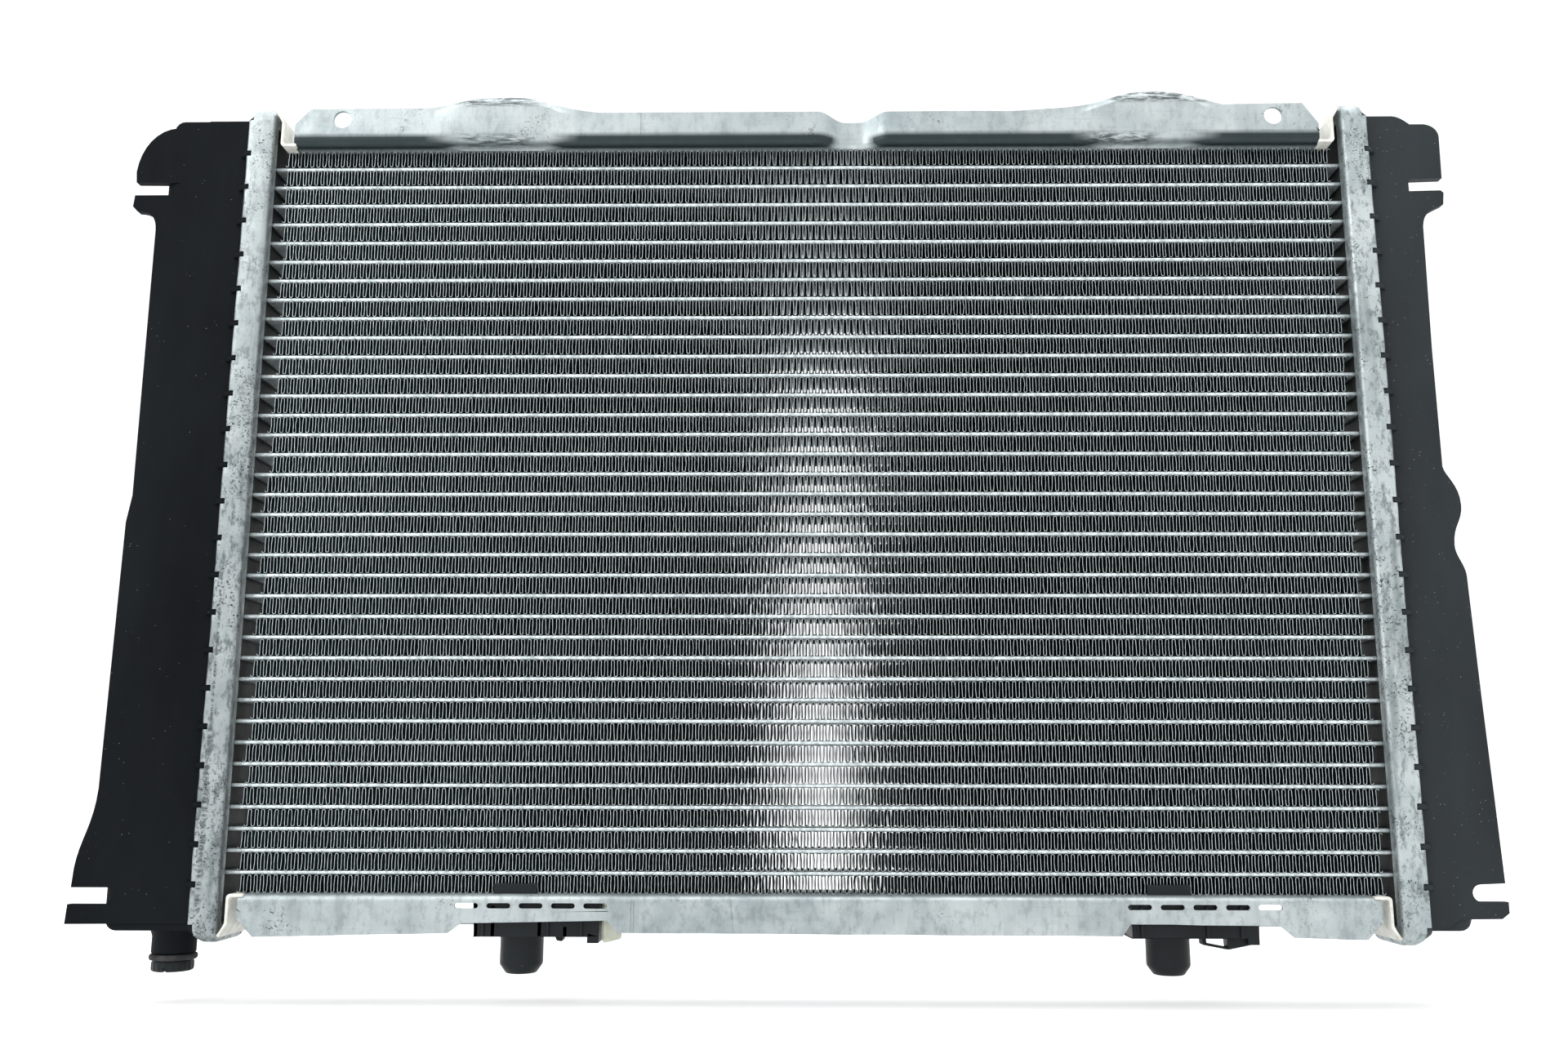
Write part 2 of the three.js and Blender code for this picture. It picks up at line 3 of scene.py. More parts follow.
import bmesh
import bpy
import numpy as np
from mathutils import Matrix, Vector


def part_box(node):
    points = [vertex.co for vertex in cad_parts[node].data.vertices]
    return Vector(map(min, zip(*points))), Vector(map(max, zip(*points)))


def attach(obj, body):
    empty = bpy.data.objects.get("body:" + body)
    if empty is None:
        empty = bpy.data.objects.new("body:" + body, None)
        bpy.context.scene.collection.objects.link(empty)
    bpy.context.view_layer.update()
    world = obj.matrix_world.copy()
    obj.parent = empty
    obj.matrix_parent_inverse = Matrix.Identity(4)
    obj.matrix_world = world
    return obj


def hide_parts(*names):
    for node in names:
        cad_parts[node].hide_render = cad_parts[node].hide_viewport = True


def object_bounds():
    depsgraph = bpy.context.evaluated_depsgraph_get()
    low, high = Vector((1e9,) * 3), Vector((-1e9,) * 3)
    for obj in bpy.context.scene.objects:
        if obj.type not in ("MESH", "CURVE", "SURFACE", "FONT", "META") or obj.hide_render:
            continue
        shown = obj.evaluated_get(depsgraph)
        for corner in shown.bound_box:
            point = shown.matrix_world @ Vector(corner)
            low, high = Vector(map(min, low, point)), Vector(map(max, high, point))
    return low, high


# The looks of a car radiator, built around its CAD frame.
# Lengths below are millimetres from the core's own reference, x = 0 at mid-core, y = 0 at mid-depth
# and z = 0 at the lowest tube's axis. place() turns them into the frame's metres.

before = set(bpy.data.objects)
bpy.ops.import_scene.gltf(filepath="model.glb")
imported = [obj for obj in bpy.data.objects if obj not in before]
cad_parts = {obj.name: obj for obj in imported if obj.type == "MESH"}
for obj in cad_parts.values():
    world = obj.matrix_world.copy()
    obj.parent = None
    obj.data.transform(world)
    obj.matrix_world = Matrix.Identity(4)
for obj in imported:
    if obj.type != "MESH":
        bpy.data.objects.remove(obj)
cad_low, cad_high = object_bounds()

MM = 0.001
lowest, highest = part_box("tube_36")
CORE = (lowest + highest) / 2


def place(points):
    """Core millimetres as frame metres."""
    return np.asarray(points, float) * MM + np.array(CORE)


# ---------- Driving dimensions ----------

TUBE_COUNT = 36
FIN_ROWS = TUBE_COUNT + 1
ROWS_PER_PACK = 5
TUBE_PITCH = (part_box("tube_35")[0].z - lowest.z) / MM
TUBE_HEIGHT = (highest.z - lowest.z) / MM
TUBE_DEPTH = (highest.y - lowest.y) / MM
TUBE_HALF = (highest.x - lowest.x) / MM / 2
CORE_MIDDLE = TUBE_PITCH * (TUBE_COUNT - 1) / 2
CORE_TOP = TUBE_COUNT * TUBE_PITCH - TUBE_HEIGHT / 2
CORE_BOTTOM = TUBE_HEIGHT / 2 - TUBE_PITCH

FIN_HALF = 278
FIN_WAVE = 3.24
FIN_CREST = FIN_WAVE * 0.235  # a crest's radius
FIN_SHEET = 0.22
FIN_GAP = 0.02  # between a crest and its tube
FIN_FRONT, FIN_BACK = -11.3, 12.0
FIN_PLEAT = 0.34  # how far a pleat pushes a leg sideways
PLEATS = ((-9.6, FIN_PLEAT), (-7.2, -FIN_PLEAT), (8.0, FIN_PLEAT), (10.3, -FIN_PLEAT))  # depth, push
FIN_SKEW = 0.015  # sideways lean of a strip for each mm of depth
FIN_ENDS = 3.5  # how much shorter a strip may be at each end
FIN_OVERHANG = 1.5  # how much longer the top and bottom strips are at each end
TUBE_WALL = 0.35

RIM = 281  # the header's face towards the core
HEADER_HALF_DEPTH = 20.5
HEADER_HALF_HEIGHT = 214.5
HEADER_CORNER = 9
HEADER_SHEET = 1.2
WALL_END = 294.5
SLOTS_HALF_HEIGHT = 205.3
NOTCH_COUNT, NOTCH_PITCH, NOTCH_WIDTH, NOTCH_DEPTH = 21, 18.7, 3, 2.7

PLATE_FRONT = -15.5
PLATE_THICKNESS = 4.5
PLATE_START = 295.2
TANK_START, TANK_TOP = 288, 389.5
TANK_CORNER = 9
BODY_FRONT, BODY_BACK = -14.9, 15.5
LEFT_FLANK, LEFT_BOTTOM = 340, -27
RIGHT_FLANK, RIGHT_BOTTOM = 319, -25.5

SIDE_HALF_DEPTH = 19.5
SIDE_SHEET = 1.5
SIDE_BEND = 3.7
SIDE_HALF = 270
HOLES_X, HOLES_Z, HOLE_RADIUS = (-245, 246), 388.2, 4.8
SLOT_ROWS, SLOTS_IN_ROW, SLOT_PITCH = (-161.9, 158), 5, 15.4
FOOT_PINS = (-138.3, 175)
DRAIN_X = -308.6
SPIGOT_RADIUS, SPIGOT_END, SPIGOT_BORE = 10.3, -38.7, 7
THREAD_PITCH, THREAD_TURNS = 2.5, 8
PLUG_ROOM = 14.5  # from the lowest point down to the floor, for the drain plug to screw out

rng = np.random.default_rng(41)


# ---------- Camera ----------

camera = bpy.data.objects.new("camera", bpy.data.cameras.new("camera"))
bpy.context.scene.collection.objects.link(camera)
camera.location = (-0.02055, -0.6962, 0.0932)
camera.rotation_euler = (math.radians(100.476), math.radians(-0.082), math.radians(0.71))
camera.data.lens = 31.66
camera.data.sensor_width = 36
camera.data.clip_start = 0.01
camera.data.clip_end = 50
bpy.context.scene.camera = camera


# ---------- Procedural materials ----------

SPECK_CORE = 0.4  # share of a speck's radius that is solid


class Material:
    """A Principled material and short ways to add its pattern nodes, in frame coordinates."""

    def __init__(self, name, roughness, metallic, specular=0.5):
        self.data = bpy.data.materials.new(name)
        self.data.use_nodes = True
        self.nodes = self.data.node_tree.nodes
        self.links = self.data.node_tree.links
        self.shader = self.nodes["Principled BSDF"]
        self.shader.inputs["Roughness"].default_value = roughness
        self.shader.inputs["Metallic"].default_value = metallic
        self.shader.inputs["Specular IOR Level"].default_value = specular
        self.where = self.nodes.new("ShaderNodeTexCoord").outputs["Object"]

    def stretched(self, scale):
        mapping = self.nodes.new("ShaderNodeMapping")
        mapping.inputs["Scale"].default_value = scale
        self.links.new(self.where, mapping.inputs["Vector"])
        return mapping.outputs["Vector"]

    def noise(self, scale, detail=4, stretch=(1, 1, 1), roughness=0.6):
        node = self.nodes.new("ShaderNodeTexNoise")
        node.inputs["Scale"].default_value = scale
        node.inputs["Detail"].default_value = detail
        node.inputs["Roughness"].default_value = roughness
        self.links.new(self.stretched(stretch), node.inputs["Vector"])
        return node.outputs["Fac"]

    def spots(self, scale, size):
        """1 at scattered round specks, 0 elsewhere. size is a share of the spacing."""
        node = self.nodes.new("ShaderNodeTexVoronoi")
        node.inputs["Scale"].default_value = scale
        self.links.new(self.where, node.inputs["Vector"])
        return self.between(node.outputs["Distance"], size, size * SPECK_CORE)

    def between(self, value, low, high):
        """0 at low and 1 at high, straight between."""
        node = self.nodes.new("ShaderNodeMapRange")
        node.inputs["From Min"].default_value = low
        node.inputs["From Max"].default_value = high
        self.links.new(value, node.inputs["Value"])
        return node.outputs["Result"]

    def within(self, axis, low, high, soft):
        """1 between two places along an axis, 0 beyond, fading over soft."""
        where = self.axis(axis)
        begun = self.between(where, low - soft, low + soft)
        return self.math("MULTIPLY", begun, self.between(where, high + soft, high - soft))

    def levels(self, value, low, high):
        """low where value is 0 and high where it is 1."""
        node = self.nodes.new("ShaderNodeMapRange")
        node.inputs["To Min"].default_value = low
        node.inputs["To Max"].default_value = high
        self.links.new(value, node.inputs["Value"])
        return node.outputs["Result"]

    def math(self, operation, a, b):
        node = self.nodes.new("ShaderNodeMath")
        node.operation = operation
        for socket, value in zip(node.inputs, (a, b)):
            if isinstance(value, (int, float)):
                socket.default_value = value
            else:
                self.links.new(value, socket)
        return node.outputs["Value"]

    def axis(self, index):
        node = self.nodes.new("ShaderNodeSeparateXYZ")
        self.links.new(self.where, node.inputs["Vector"])
        return node.outputs[index]

    def mix(self, amount, first, second):
        """Colours, or the colour outputs of an earlier mix."""
        node = self.nodes.new("ShaderNodeMix")
        node.data_type = "RGBA"
        for socket, value in zip((node.inputs[0], node.inputs[6], node.inputs[7]), (amount, first, second)):
            if isinstance(value, tuple):
                socket.default_value = (*value, 1)
            else:
                self.links.new(value, socket)
        return node.outputs[2]

    def finish(self, colour, roughness, height, strength, distance):
        """Joins the patterns to the shader, with height as a bump."""
        self.links.new(colour, self.shader.inputs["Base Color"])
        self.links.new(roughness, self.shader.inputs["Roughness"])
        bump = self.nodes.new("ShaderNodeBump")
        bump.inputs["Strength"].default_value = strength
        bump.inputs["Distance"].default_value = distance
        self.links.new(height, bump.inputs["Height"])
        self.links.new(bump.outputs["Normal"], self.shader.inputs["Normal"])
        return self.data


def sheet_aluminium(name, grime, tone=1.0, worn=0.2, painted_shade_band=None, rubs=(), lit_top_heights=None, shine=1.0):
    """Bare sheet with flux mottling, scratches and speckled grime.

    A higher grime leaves fewer dirty patches, tone scales the greys, worn is the strength of the dark
    pitting and streaks, and shine scales the metallic and specular levels. painted_shade_band is two
    heights between which painted shade darkens the front towards a bend, lit_top_heights two heights
    between which painted light pales the sheet, and rubs are scuffed patches of the front as (x, z) boxes
    in core millimetres.
    """

    def grey(r, g, b):
        return (r * tone, g * tone, b * tone)

    m = Material(name, 0.45, 0.7 * shine, 0.5 * shine)
    mottling = m.between(m.noise(60, 5), 0.35, 0.7)
    colour = m.mix(mottling, grey(0.34, 0.395, 0.41), grey(0.50, 0.555, 0.565))
    clouds = m.between(m.noise(16, 3), 0.42, 0.68)
    colour = m.mix(m.math("MULTIPLY", clouds, 0.7), colour, grey(0.62, 0.675, 0.685))
    scratches = m.between(m.noise(26, 6, (1, 4, 22), 0.75), 0.58, 0.72)
    colour = m.mix(m.math("MULTIPLY", scratches, 0.45), colour, grey(0.17, 0.20, 0.21))
    pitting = m.between(m.noise(320, 5, (1, 1, 0.5), 0.7), 0.50, 0.62)
    colour = m.mix(m.math("MULTIPLY", pitting, worn), colour, grey(0.15, 0.18, 0.19))
    streaks = m.between(m.noise(90, 4, (1, 1, 0.12), 0.6), 0.52, 0.66)
    colour = m.mix(m.math("MULTIPLY", streaks, worn), colour, grey(0.20, 0.235, 0.24))
    for (x0, x1), (z0, z1) in rubs:
        x0, x1, z0, z1 = (v * MM + o for v, o in ((x0, CORE.x), (x1, CORE.x), (z0, CORE.z), (z1, CORE.z)))
        soft = min(5 * MM, (x1 - x0) / 3)
        inside = m.math("MULTIPLY", m.within("X", x0, x1, soft), m.within("Z", z0, z1, 1.2 * MM))
        inside = m.math("MULTIPLY", inside, m.between(m.axis("Y"), -11 * MM, -13 * MM))
        scuffs = m.between(m.noise(500, 5, (0.25, 1, 1.6), 0.7), 0.42, 0.56)
        colour = m.mix(m.math("MULTIPLY", inside, scuffs), colour, (0.075, 0.088, 0.092))
    # Painted light: the sheet pales between two heights, lighter towards the top as if lit from above.
    if lit_top_heights:
        pale = m.math("MULTIPLY", m.between(m.axis("Z"), *lit_top_heights), 0.35)
        colour = m.mix(pale, colour, (0.62, 0.675, 0.685))
    specks = m.between(m.noise(900, 3), 0.56, 0.64)
    patches = m.between(m.noise(38, 4), grime, grime + 0.12)
    dirt = m.math("MULTIPLY", specks, patches)
    colour = m.mix(dirt, colour, (0.03, 0.038, 0.042))
    # Painted shade: the front darkens between two heights towards the channel's bend, where shade falls,
    # and 3 mm lower at the bumps.
    if painted_shade_band:
        front = m.between(m.axis("Y"), -13 * MM, -16 * MM)
        shade = m.between(m.axis("Z"), *painted_shade_band)
        low = m.between(m.axis("Z"), painted_shade_band[0] - 3.4 * MM, painted_shade_band[1] - 3.0 * MM)
        for x0, x1 in BUMPS:
            bump = m.within("X", x0 * MM + CORE.x, x1 * MM + CORE.x, 11 * MM)
            shade = m.math("SUBTRACT", shade, m.math("MULTIPLY", bump, m.math("SUBTRACT", shade, low)))
        shade = m.math("MULTIPLY", shade, front)
        colour = m.mix(m.math("MULTIPLY", shade, 0.97), colour, (0.012, 0.022, 0.025))
    fine = m.noise(700, 4)
    return m.finish(colour, m.levels(mottling, 0.5, 0.36), fine, 0.25, 0.0004)


def tube_aluminium():
    """Clad tube with speckled braze residue."""
    m = Material("tube_aluminium", 0.4, 0.7)
    residue = m.between(m.noise(420, 5), 0.36, 0.66)
    colour = m.mix(residue, (0.36, 0.415, 0.43), (0.68, 0.735, 0.745))
    dark = m.between(m.noise(1300, 2), 0.66, 0.74)
    colour = m.mix(m.math("MULTIPLY", dark, 0.6), colour, (0.12, 0.15, 0.16))
    return m.finish(colour, m.levels(residue, 0.5, 0.3), m.noise(900, 4), 0.4, 0.0004)


def fin_aluminium():
    """Thin strip whose faces are painted near-black as the shade between its legs, with its louvres' slits
    as fine dark lines of painted shade side by side along the depth.
    """
    m = Material("fin_aluminium", 0.7, 0.35, 0.12)
    tone = m.between(m.noise(45, 4), 0.35, 0.7)
    # Painted shade: the faces' near-black colour stands for the shade in the gaps between the legs.
    colour = m.mix(tone, (0.012, 0.021, 0.025), (0.034, 0.052, 0.057))
    louvres = m.nodes.new("ShaderNodeTexWave")
    louvres.bands_direction = "Y"
    louvres.inputs["Scale"].default_value = 250
    louvres.inputs["Distortion"].default_value = 0.2
    m.links.new(m.where, louvres.inputs["Vector"])
    # Painted shade: the dark slit lines stand for the shade in the louvre openings.
    slits = m.between(louvres.outputs["Fac"], 0.16, 0.02)
    colour = m.mix(m.math("MULTIPLY", slits, 0.7), colour, (0.015, 0.02, 0.022))
    return m.finish(colour, m.levels(tone, 0.75, 0.6), louvres.outputs["Fac"], 0.5, 0.0003)


def cut_edge():
    """The sheared edge of a fin strip, brighter than its faces."""
    m = Material("fin_cut_edge", 0.35, 0.6)
    bright = m.between(m.noise(500, 4), 0.34, 0.62)
    colour = m.mix(bright, (0.29, 0.35, 0.37), (0.58, 0.64, 0.655))
    return m.finish(colour, m.levels(bright, 0.45, 0.3), m.noise(800, 3), 0.2, 0.0002)


def moulded_plastic(name, dark, light, roughness, grain, specks, specular=0.14):
    """Black glass-filled plastic with a fine grain, faint flow marks and specks of dust."""
    m = Material(name, roughness, 0, specular)
    flow = m.between(m.noise(14, 5, (1, 1, 0.35)), 0.3, 0.75)
    colour = m.mix(flow, dark, light)
    dust = m.math("MULTIPLY", m.spots(420, 0.09), m.between(m.noise(70, 3), specks, specks + 0.1))
    colour = m.mix(dust, colour, (0.30, 0.33, 0.34))
    gloss = m.levels(flow, roughness + 0.08, roughness - 0.06)
    return m.finish(colour, gloss, m.noise(grain, 4), 0.3, 0.0003)


def cream_coat(name, dark, light):
    """Chalky, slightly uneven cream coat on the lips; on the stop tab the same cream is a painted
    reflection on bare metal.
    """
    m = Material(name, 0.6, 0, 0.4)
    tone = m.between(m.noise(180, 4), 0.35, 0.7)
    colour = m.mix(tone, dark, light)
    dirt = m.between(m.noise(90, 5), 0.60, 0.72)
    colour = m.mix(m.math("MULTIPLY", dirt, 0.5), colour, (0.30, 0.29, 0.23))
    return m.finish(colour, m.levels(tone, 0.65, 0.5), m.noise(600, 3), 0.3, 0.0003)


def seal_rubber():
    """Matt black rubber with a faint bloom."""
    m = Material("seal_rubber", 0.8, 0)
    bloom = m.between(m.noise(160, 4), 0.4, 0.7)
    colour = m.mix(bloom, (0.010, 0.010, 0.011), (0.026, 0.026, 0.027))
    return m.finish(colour, m.levels(bloom, 0.85, 0.7), m.noise(1200, 3), 0.3, 0.0002)


def pale_floor():
    m = Material("floor", 0.8, 0)
    tone = m.noise(3, 2)
    colour = m.mix(tone, (0.93, 0.93, 0.93), (0.96, 0.96, 0.96))
    return m.finish(colour, m.levels(tone, 0.8, 0.85), tone, 0.02, 0.001)


# Heights between which painted shade darkens the top channel's front towards its bend, 3 mm lower at the
# bumps.
BEND_SHADE_BAND = [height * MM + CORE.z for height in (CORE_TOP + 7.4, CORE_TOP + 4.6)]
BUMPS = ((-190, -130), (150, 208))
TOP_RUBS = (
    ((-182, -145), (374.5, 379.5)), ((-184, -142), (395.4, 401.2)),
    ((146, 184), (374.8, 379.2)), ((160, 214), (396.2, 403.0)),
)
# Heights between which painted light pales the left header towards its top.
PALE_TOP = [height * MM + CORE.z for height in (190, 400)]
LEFT_RUBS = (((-291.6, -289.2), (-18, 70)), ((-290.8, -289.6), (70, 150)))
# The two headers are one metal: the left copy's lower tone is painted shade and the right copy's higher
# tone painted light; their wear and the left one's dark streak are real.
HEADER_METALS = {
    "left": sheet_aluminium("header_aluminium_left", 0.44, 0.64, 0.85, None, LEFT_RUBS, PALE_TOP),
    "right": sheet_aluminium("header_aluminium_right", 0.44, 0.86, 0.75),
}
# Painted shade: the header's slotted field is near-black for the dark gap between the fin ends and the
# header.
FIELD_SHADE = sheet_aluminium("tube_field_painted_shade", 0.45, 0.05, shine=0.1)
# The top channel's front carries a band of painted shade towards its bend.
TOP_METAL = sheet_aluminium("top_channel_aluminium", 0.58, 0.86, 0.22, BEND_SHADE_BAND, TOP_RUBS)
BOTTOM_METAL = sheet_aluminium("bottom_channel_aluminium", 0.56, 0.80, 0.32)
TUBE_METAL = tube_aluminium()
FIN_METAL = fin_aluminium()
EDGE_METAL = cut_edge()
# One plastic in two copies: the left tank's darker, duller tone is painted shade and the right tank's
# paler, glossier tone painted light; the right's denser specks are dust.
TANK_PLASTICS = {
    "left": moulded_plastic("tank_plastic_left", (0.003, 0.004, 0.005), (0.008, 0.010, 0.012),
                            0.6, 1500, 0.55, 0.05),
    "right": moulded_plastic("tank_plastic_right", (0.010, 0.013, 0.016), (0.022, 0.028, 0.032),
                             0.52, 1500, 0.44, 0.16),
}
FOOT_PLASTIC = moulded_plastic("foot_plastic", (0.007, 0.009, 0.010), (0.014, 0.017, 0.019), 0.36, 900, 0.6)
RUBBER = seal_rubber()
# The stop tab is bare metal; its cream colour is a painted reflection.
TAB_CREAM_REFLECTION = cream_coat("stop_tab_painted_reflection", (0.60, 0.62, 0.50), (0.76, 0.79, 0.66))
LIP_COAT = cream_coat("lip_cream", (0.52, 0.52, 0.47), (0.74, 0.74, 0.69))


# ---------- Meshes ----------


class Build:
    """Vertices and faces in core millimetres, gathered from several closed shells."""

    def __init__(self):
        self.points = []
        self.faces = []
        self.materials = []

    def add(self, points, faces, material=0):
        start = len(self.points)
        self.points.extend(map(tuple, points))
        self.faces.extend([start + i for i in face] for face in faces)
        self.materials.extend([material] * len(faces))

    def loft(self, sections, caps=True):
        """Sections of equally many points, each a closed loop, joined along the run."""
        sections = np.asarray(sections, float)
        count, around = sections.shape[:2]
        faces = []
        for i in range(count - 1):
            for j in range(around):
                k = (j + 1) % around
                faces.append([i * around + j, i * around + k, (i + 1) * around + k, (i + 1) * around + j])
        if caps:
            faces.append(list(range(around))[::-1])
            faces.append([(count - 1) * around + j for j in range(around)])
        self.add(sections.reshape(-1, 3), faces)

    def box(self, x, y, z):
        corners = [(a, b, c) for a in sorted(x) for b in sorted(y) for c in sorted(z)]
        sides = [(0, 1, 3, 2), (4, 6, 7, 5), (0, 4, 5, 1), (2, 3, 7, 6), (0, 2, 6, 4), (1, 5, 7, 3)]
        self.add(corners, sides)

    def turned(self, profile, centre, axis="z", sides=48):
        """A closed or axis-to-axis profile of (radius, height) turned about an axis through centre."""
        angles = np.linspace(0, 2 * math.pi, sides, endpoint=False)
        rings = []
        for radius, height in profile:
            ring = np.stack([radius * np.cos(angles), radius * np.sin(angles), np.full(sides, height)], 1)
            rings.append(ring if axis == "z" else ring[:, [0, 2, 1]])
        self.loft(np.array(rings) + np.asarray(centre, float))

    def extruded(self, outline, y0, y1):
        """An outline of (x, z) with its thickness along y."""
        near = [(x, y0, z) for x, z in outline]
        far = [(x, y1, z) for x, z in outline]
        self.loft([near, far])


def piece(name, build, materials, replaces, body="radiator", smooth=35, bevel=0.0):
    """Makes the built shells one object that stands for its CAD nodes and rides on their body."""
    mesh = bpy.data.meshes.new(name)
    mesh.from_pydata(place(build.points).tolist(), [], build.faces)
    mesh.polygons.foreach_set("material_index", build.materials)
    return settle(name, mesh, materials, replaces, body, smooth, bevel)


def settle(name, mesh, materials, replaces, body, smooth, bevel=0.0, weld=True):
    """Turns a mesh into a piece. smooth is the angle, in degrees, above which an edge stays sharp."""
    if weld:
        work = bmesh.new()
        work.from_mesh(mesh)
        bmesh.ops.remove_doubles(work, verts=work.verts, dist=1e-6)
        bmesh.ops.recalc_face_normals(work, faces=work.faces)
        work.to_mesh(mesh)
        work.free()
    for material in materials:
        mesh.materials.append(material)
    made = bpy.data.objects.new(name, mesh)
    bpy.context.scene.collection.objects.link(made)
    mesh.shade_smooth()
    if smooth:
        mesh.set_sharp_from_angle(angle=math.radians(smooth))
    if bevel:
        modifier = made.modifiers.new("bevel", "BEVEL")
        modifier.width = bevel * MM
        modifier.segments = 2
        modifier.limit_method = "ANGLE"
        modifier.angle_limit = math.radians(32)
        modifier.harden_normals = True
    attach(made, body)
    if replaces:
        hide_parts(*replaces)
    return made


def bezier(p0, p1, p2, p3, steps=8):
    """Points of a cubic curve after its first one."""
    t = np.linspace(0, 1, steps + 1)[1:, None]
    p0, p1, p2, p3 = map(np.array, (p0, p1, p2, p3))
    return ((1 - t) ** 3 * p0 + 3 * (1 - t) ** 2 * t * p1 + 3 * (1 - t) * t**2 * p2 + t**3 * p3).tolist()


def arc(centre, radius, start, end, steps=6):
    """Points of an arc between two angles in degrees."""
    angles = np.radians(np.linspace(start, end, steps + 1))
    return [(centre[0] + radius * math.cos(a), centre[1] + radius * math.sin(a)) for a in angles]


def outline(*parts):
    """A list of points from single points and lists of them."""
    points = []
    for part in parts:
        points.extend(part if isinstance(part, list) else [part])
    return points


# ---------- Core ----------

CREST_POINTS = 5
# Spreads of a rolled strip's unevenness, as a share of a leg's spacing and then in mm.
UNEVEN_SPACING = 0.05
UNEVEN_LEAN, UNEVEN_CREST, UNEVEN_EDGE, UNEVEN_BOW = 0.10, 0.10, 0.10, 0.06


def fin_line(overhang):
    """One strip's wavy line as (x, z) about the row's middle, and the row's half height."""
    half = TUBE_PITCH / 2 - TUBE_HEIGHT / 2 - FIN_GAP
    start = -FIN_HALF - overhang + rng.uniform(0, FIN_ENDS)
    end = FIN_HALF + overhang - rng.uniform(0, FIN_ENDS)
    count = int((end - start) / (FIN_WAVE / 2))
    widths = 1 + UNEVEN_SPACING * rng.standard_normal(count)
    crests = start + (end - start) * np.cumsum(widths) / widths.sum()
    lean = UNEVEN_LEAN * rng.standard_normal(count)
    drop = UNEVEN_CREST * np.abs(rng.standard_normal(count))
    points = []
    for i, crest in enumerate(crests):
        up = 1 if i % 2 else -1
        top = up * (half - drop[i])
        flat = top - up * FIN_CREST
        squash = FIN_CREST * (1 + 0.12 * lean[i])
        for angle in np.linspace(180, 0, CREST_POINTS):
            a = math.radians(angle)
            points.append((crest + squash * math.cos(a), flat + up * FIN_CREST * math.sin(a)))
        if i + 1 < count:
            left, right = crest + FIN_CREST, crests[i + 1] - FIN_CREST
            bow = UNEVEN_BOW * rng.standard_normal()
            points.append(((left + right) / 2 + bow + lean[i], -0.5 * bow))
    return np.array(points), half


def fin_strip(row):
    """A corrugated strip between two tubes, a closed ribbon whose legs are pleated by the louvres."""
    line, half = fin_line(FIN_OVERHANG if row in (0, FIN_ROWS - 1) else 0)
    along = np.gradient(line, axis=0)
    along /= np.linalg.norm(along, axis=1)[:, None]
    across = np.stack([-along[:, 1], along[:, 0]], 1) * FIN_SHEET / 2
    stations = [(FIN_FRONT, 0), *PLEATS, (FIN_BACK, 0)]
    on_leg = 1 - (np.abs(line[:, 1]) / half) ** 6
    middle = row * TUBE_PITCH + CORE_BOTTOM + half + FIN_GAP
    edge = UNEVEN_EDGE * rng.standard_normal(len(line))
    loops = []
    for side, order in ((1, stations), (-1, stations[::-1])):
        for y, pleat in order:
            x = line[:, 0] + side * across[:, 0] + pleat * on_leg + FIN_SKEW * (y - FIN_FRONT)
            z = line[:, 1] + side * across[:, 1] + middle
            depth = y + (edge if y == FIN_FRONT else 0)
            loops.append(np.stack([x, np.zeros(len(line)) + depth, z], 1))
    sections = np.stack(loops, 1)
    count, around = sections.shape[:2]
    ring = np.arange(around)
    nearer = np.arange(count - 1)[:, None] * around
    quads = np.stack([nearer + ring, nearer + (ring + 1) % around,
                      nearer + around + (ring + 1) % around, nearer + around + ring], 2)
    turns = np.tile(ring, count - 1)
    is_edge = (turns == len(stations) - 1) | (turns == around - 1)
    quads = quads.reshape(-1, 4)
    caps = [ring[::-1].tolist(), (ring + (count - 1) * around).tolist()]
    name = f"fin_strip_{FIN_ROWS - row:02d}"
    mesh = bpy.data.meshes.new(name)
    mesh.from_pydata(place(sections.reshape(-1, 3)).tolist(), [], quads.tolist() + caps)
    mesh.polygons.foreach_set("material_index", is_edge.astype(int).tolist() + [0, 0])
    pack = f"fin_pack_{row // ROWS_PER_PACK + 1:02d}"
    settle(name, mesh, [FIN_METAL, EDGE_METAL], [pack], "radiator", 50, weld=False)


def flat_tube(number):
    """A flat tube with a round nose, rippled a little by the braze, open at both ends."""
    z0 = (TUBE_COUNT - number) * TUBE_PITCH
    radius = TUBE_HEIGHT / 2
    xs = np.linspace(-TUBE_HALF, TUBE_HALF, 120)
    ripple = 0.05 * rng.standard_normal((len(xs), 2)).cumsum(0)
    ripple -= np.linspace(0, 1, len(xs))[:, None] * ripple[-1]
    ripple = np.clip(ripple, -0.12, 0.12)
    reach = TUBE_DEPTH / 2 - radius
    outer = arc((reach, 0), radius, -90, 90, 8) + arc((-reach, 0), radius, 90, 270, 8)
    bore = radius - TUBE_WALL
    inner = arc((reach, 0), bore, -90, 90, 8) + arc((-reach, 0), bore, 90, 270, 8)
    build = Build()
    rings = []
    for loop in (outer, inner):
        rings.append([[(x, y, z + z0 + dz * 0.4) for y, z in loop] for x, (_, dz) in zip(xs, ripple)])
    outside, inside = np.array(rings[0]), np.array(rings[1])[::-1]
    build.loft(np.concatenate([outside, inside, outside[:1]]), caps=False)
    node = f"tube_{number:02d}"
    piece("flat_" + node, build, [TUBE_METAL], [node], smooth=50)


for row in range(FIN_ROWS):
    fin_strip(row)
for number in range(1, TUBE_COUNT + 1):
    flat_tube(number)


# ---------- Headers ----------


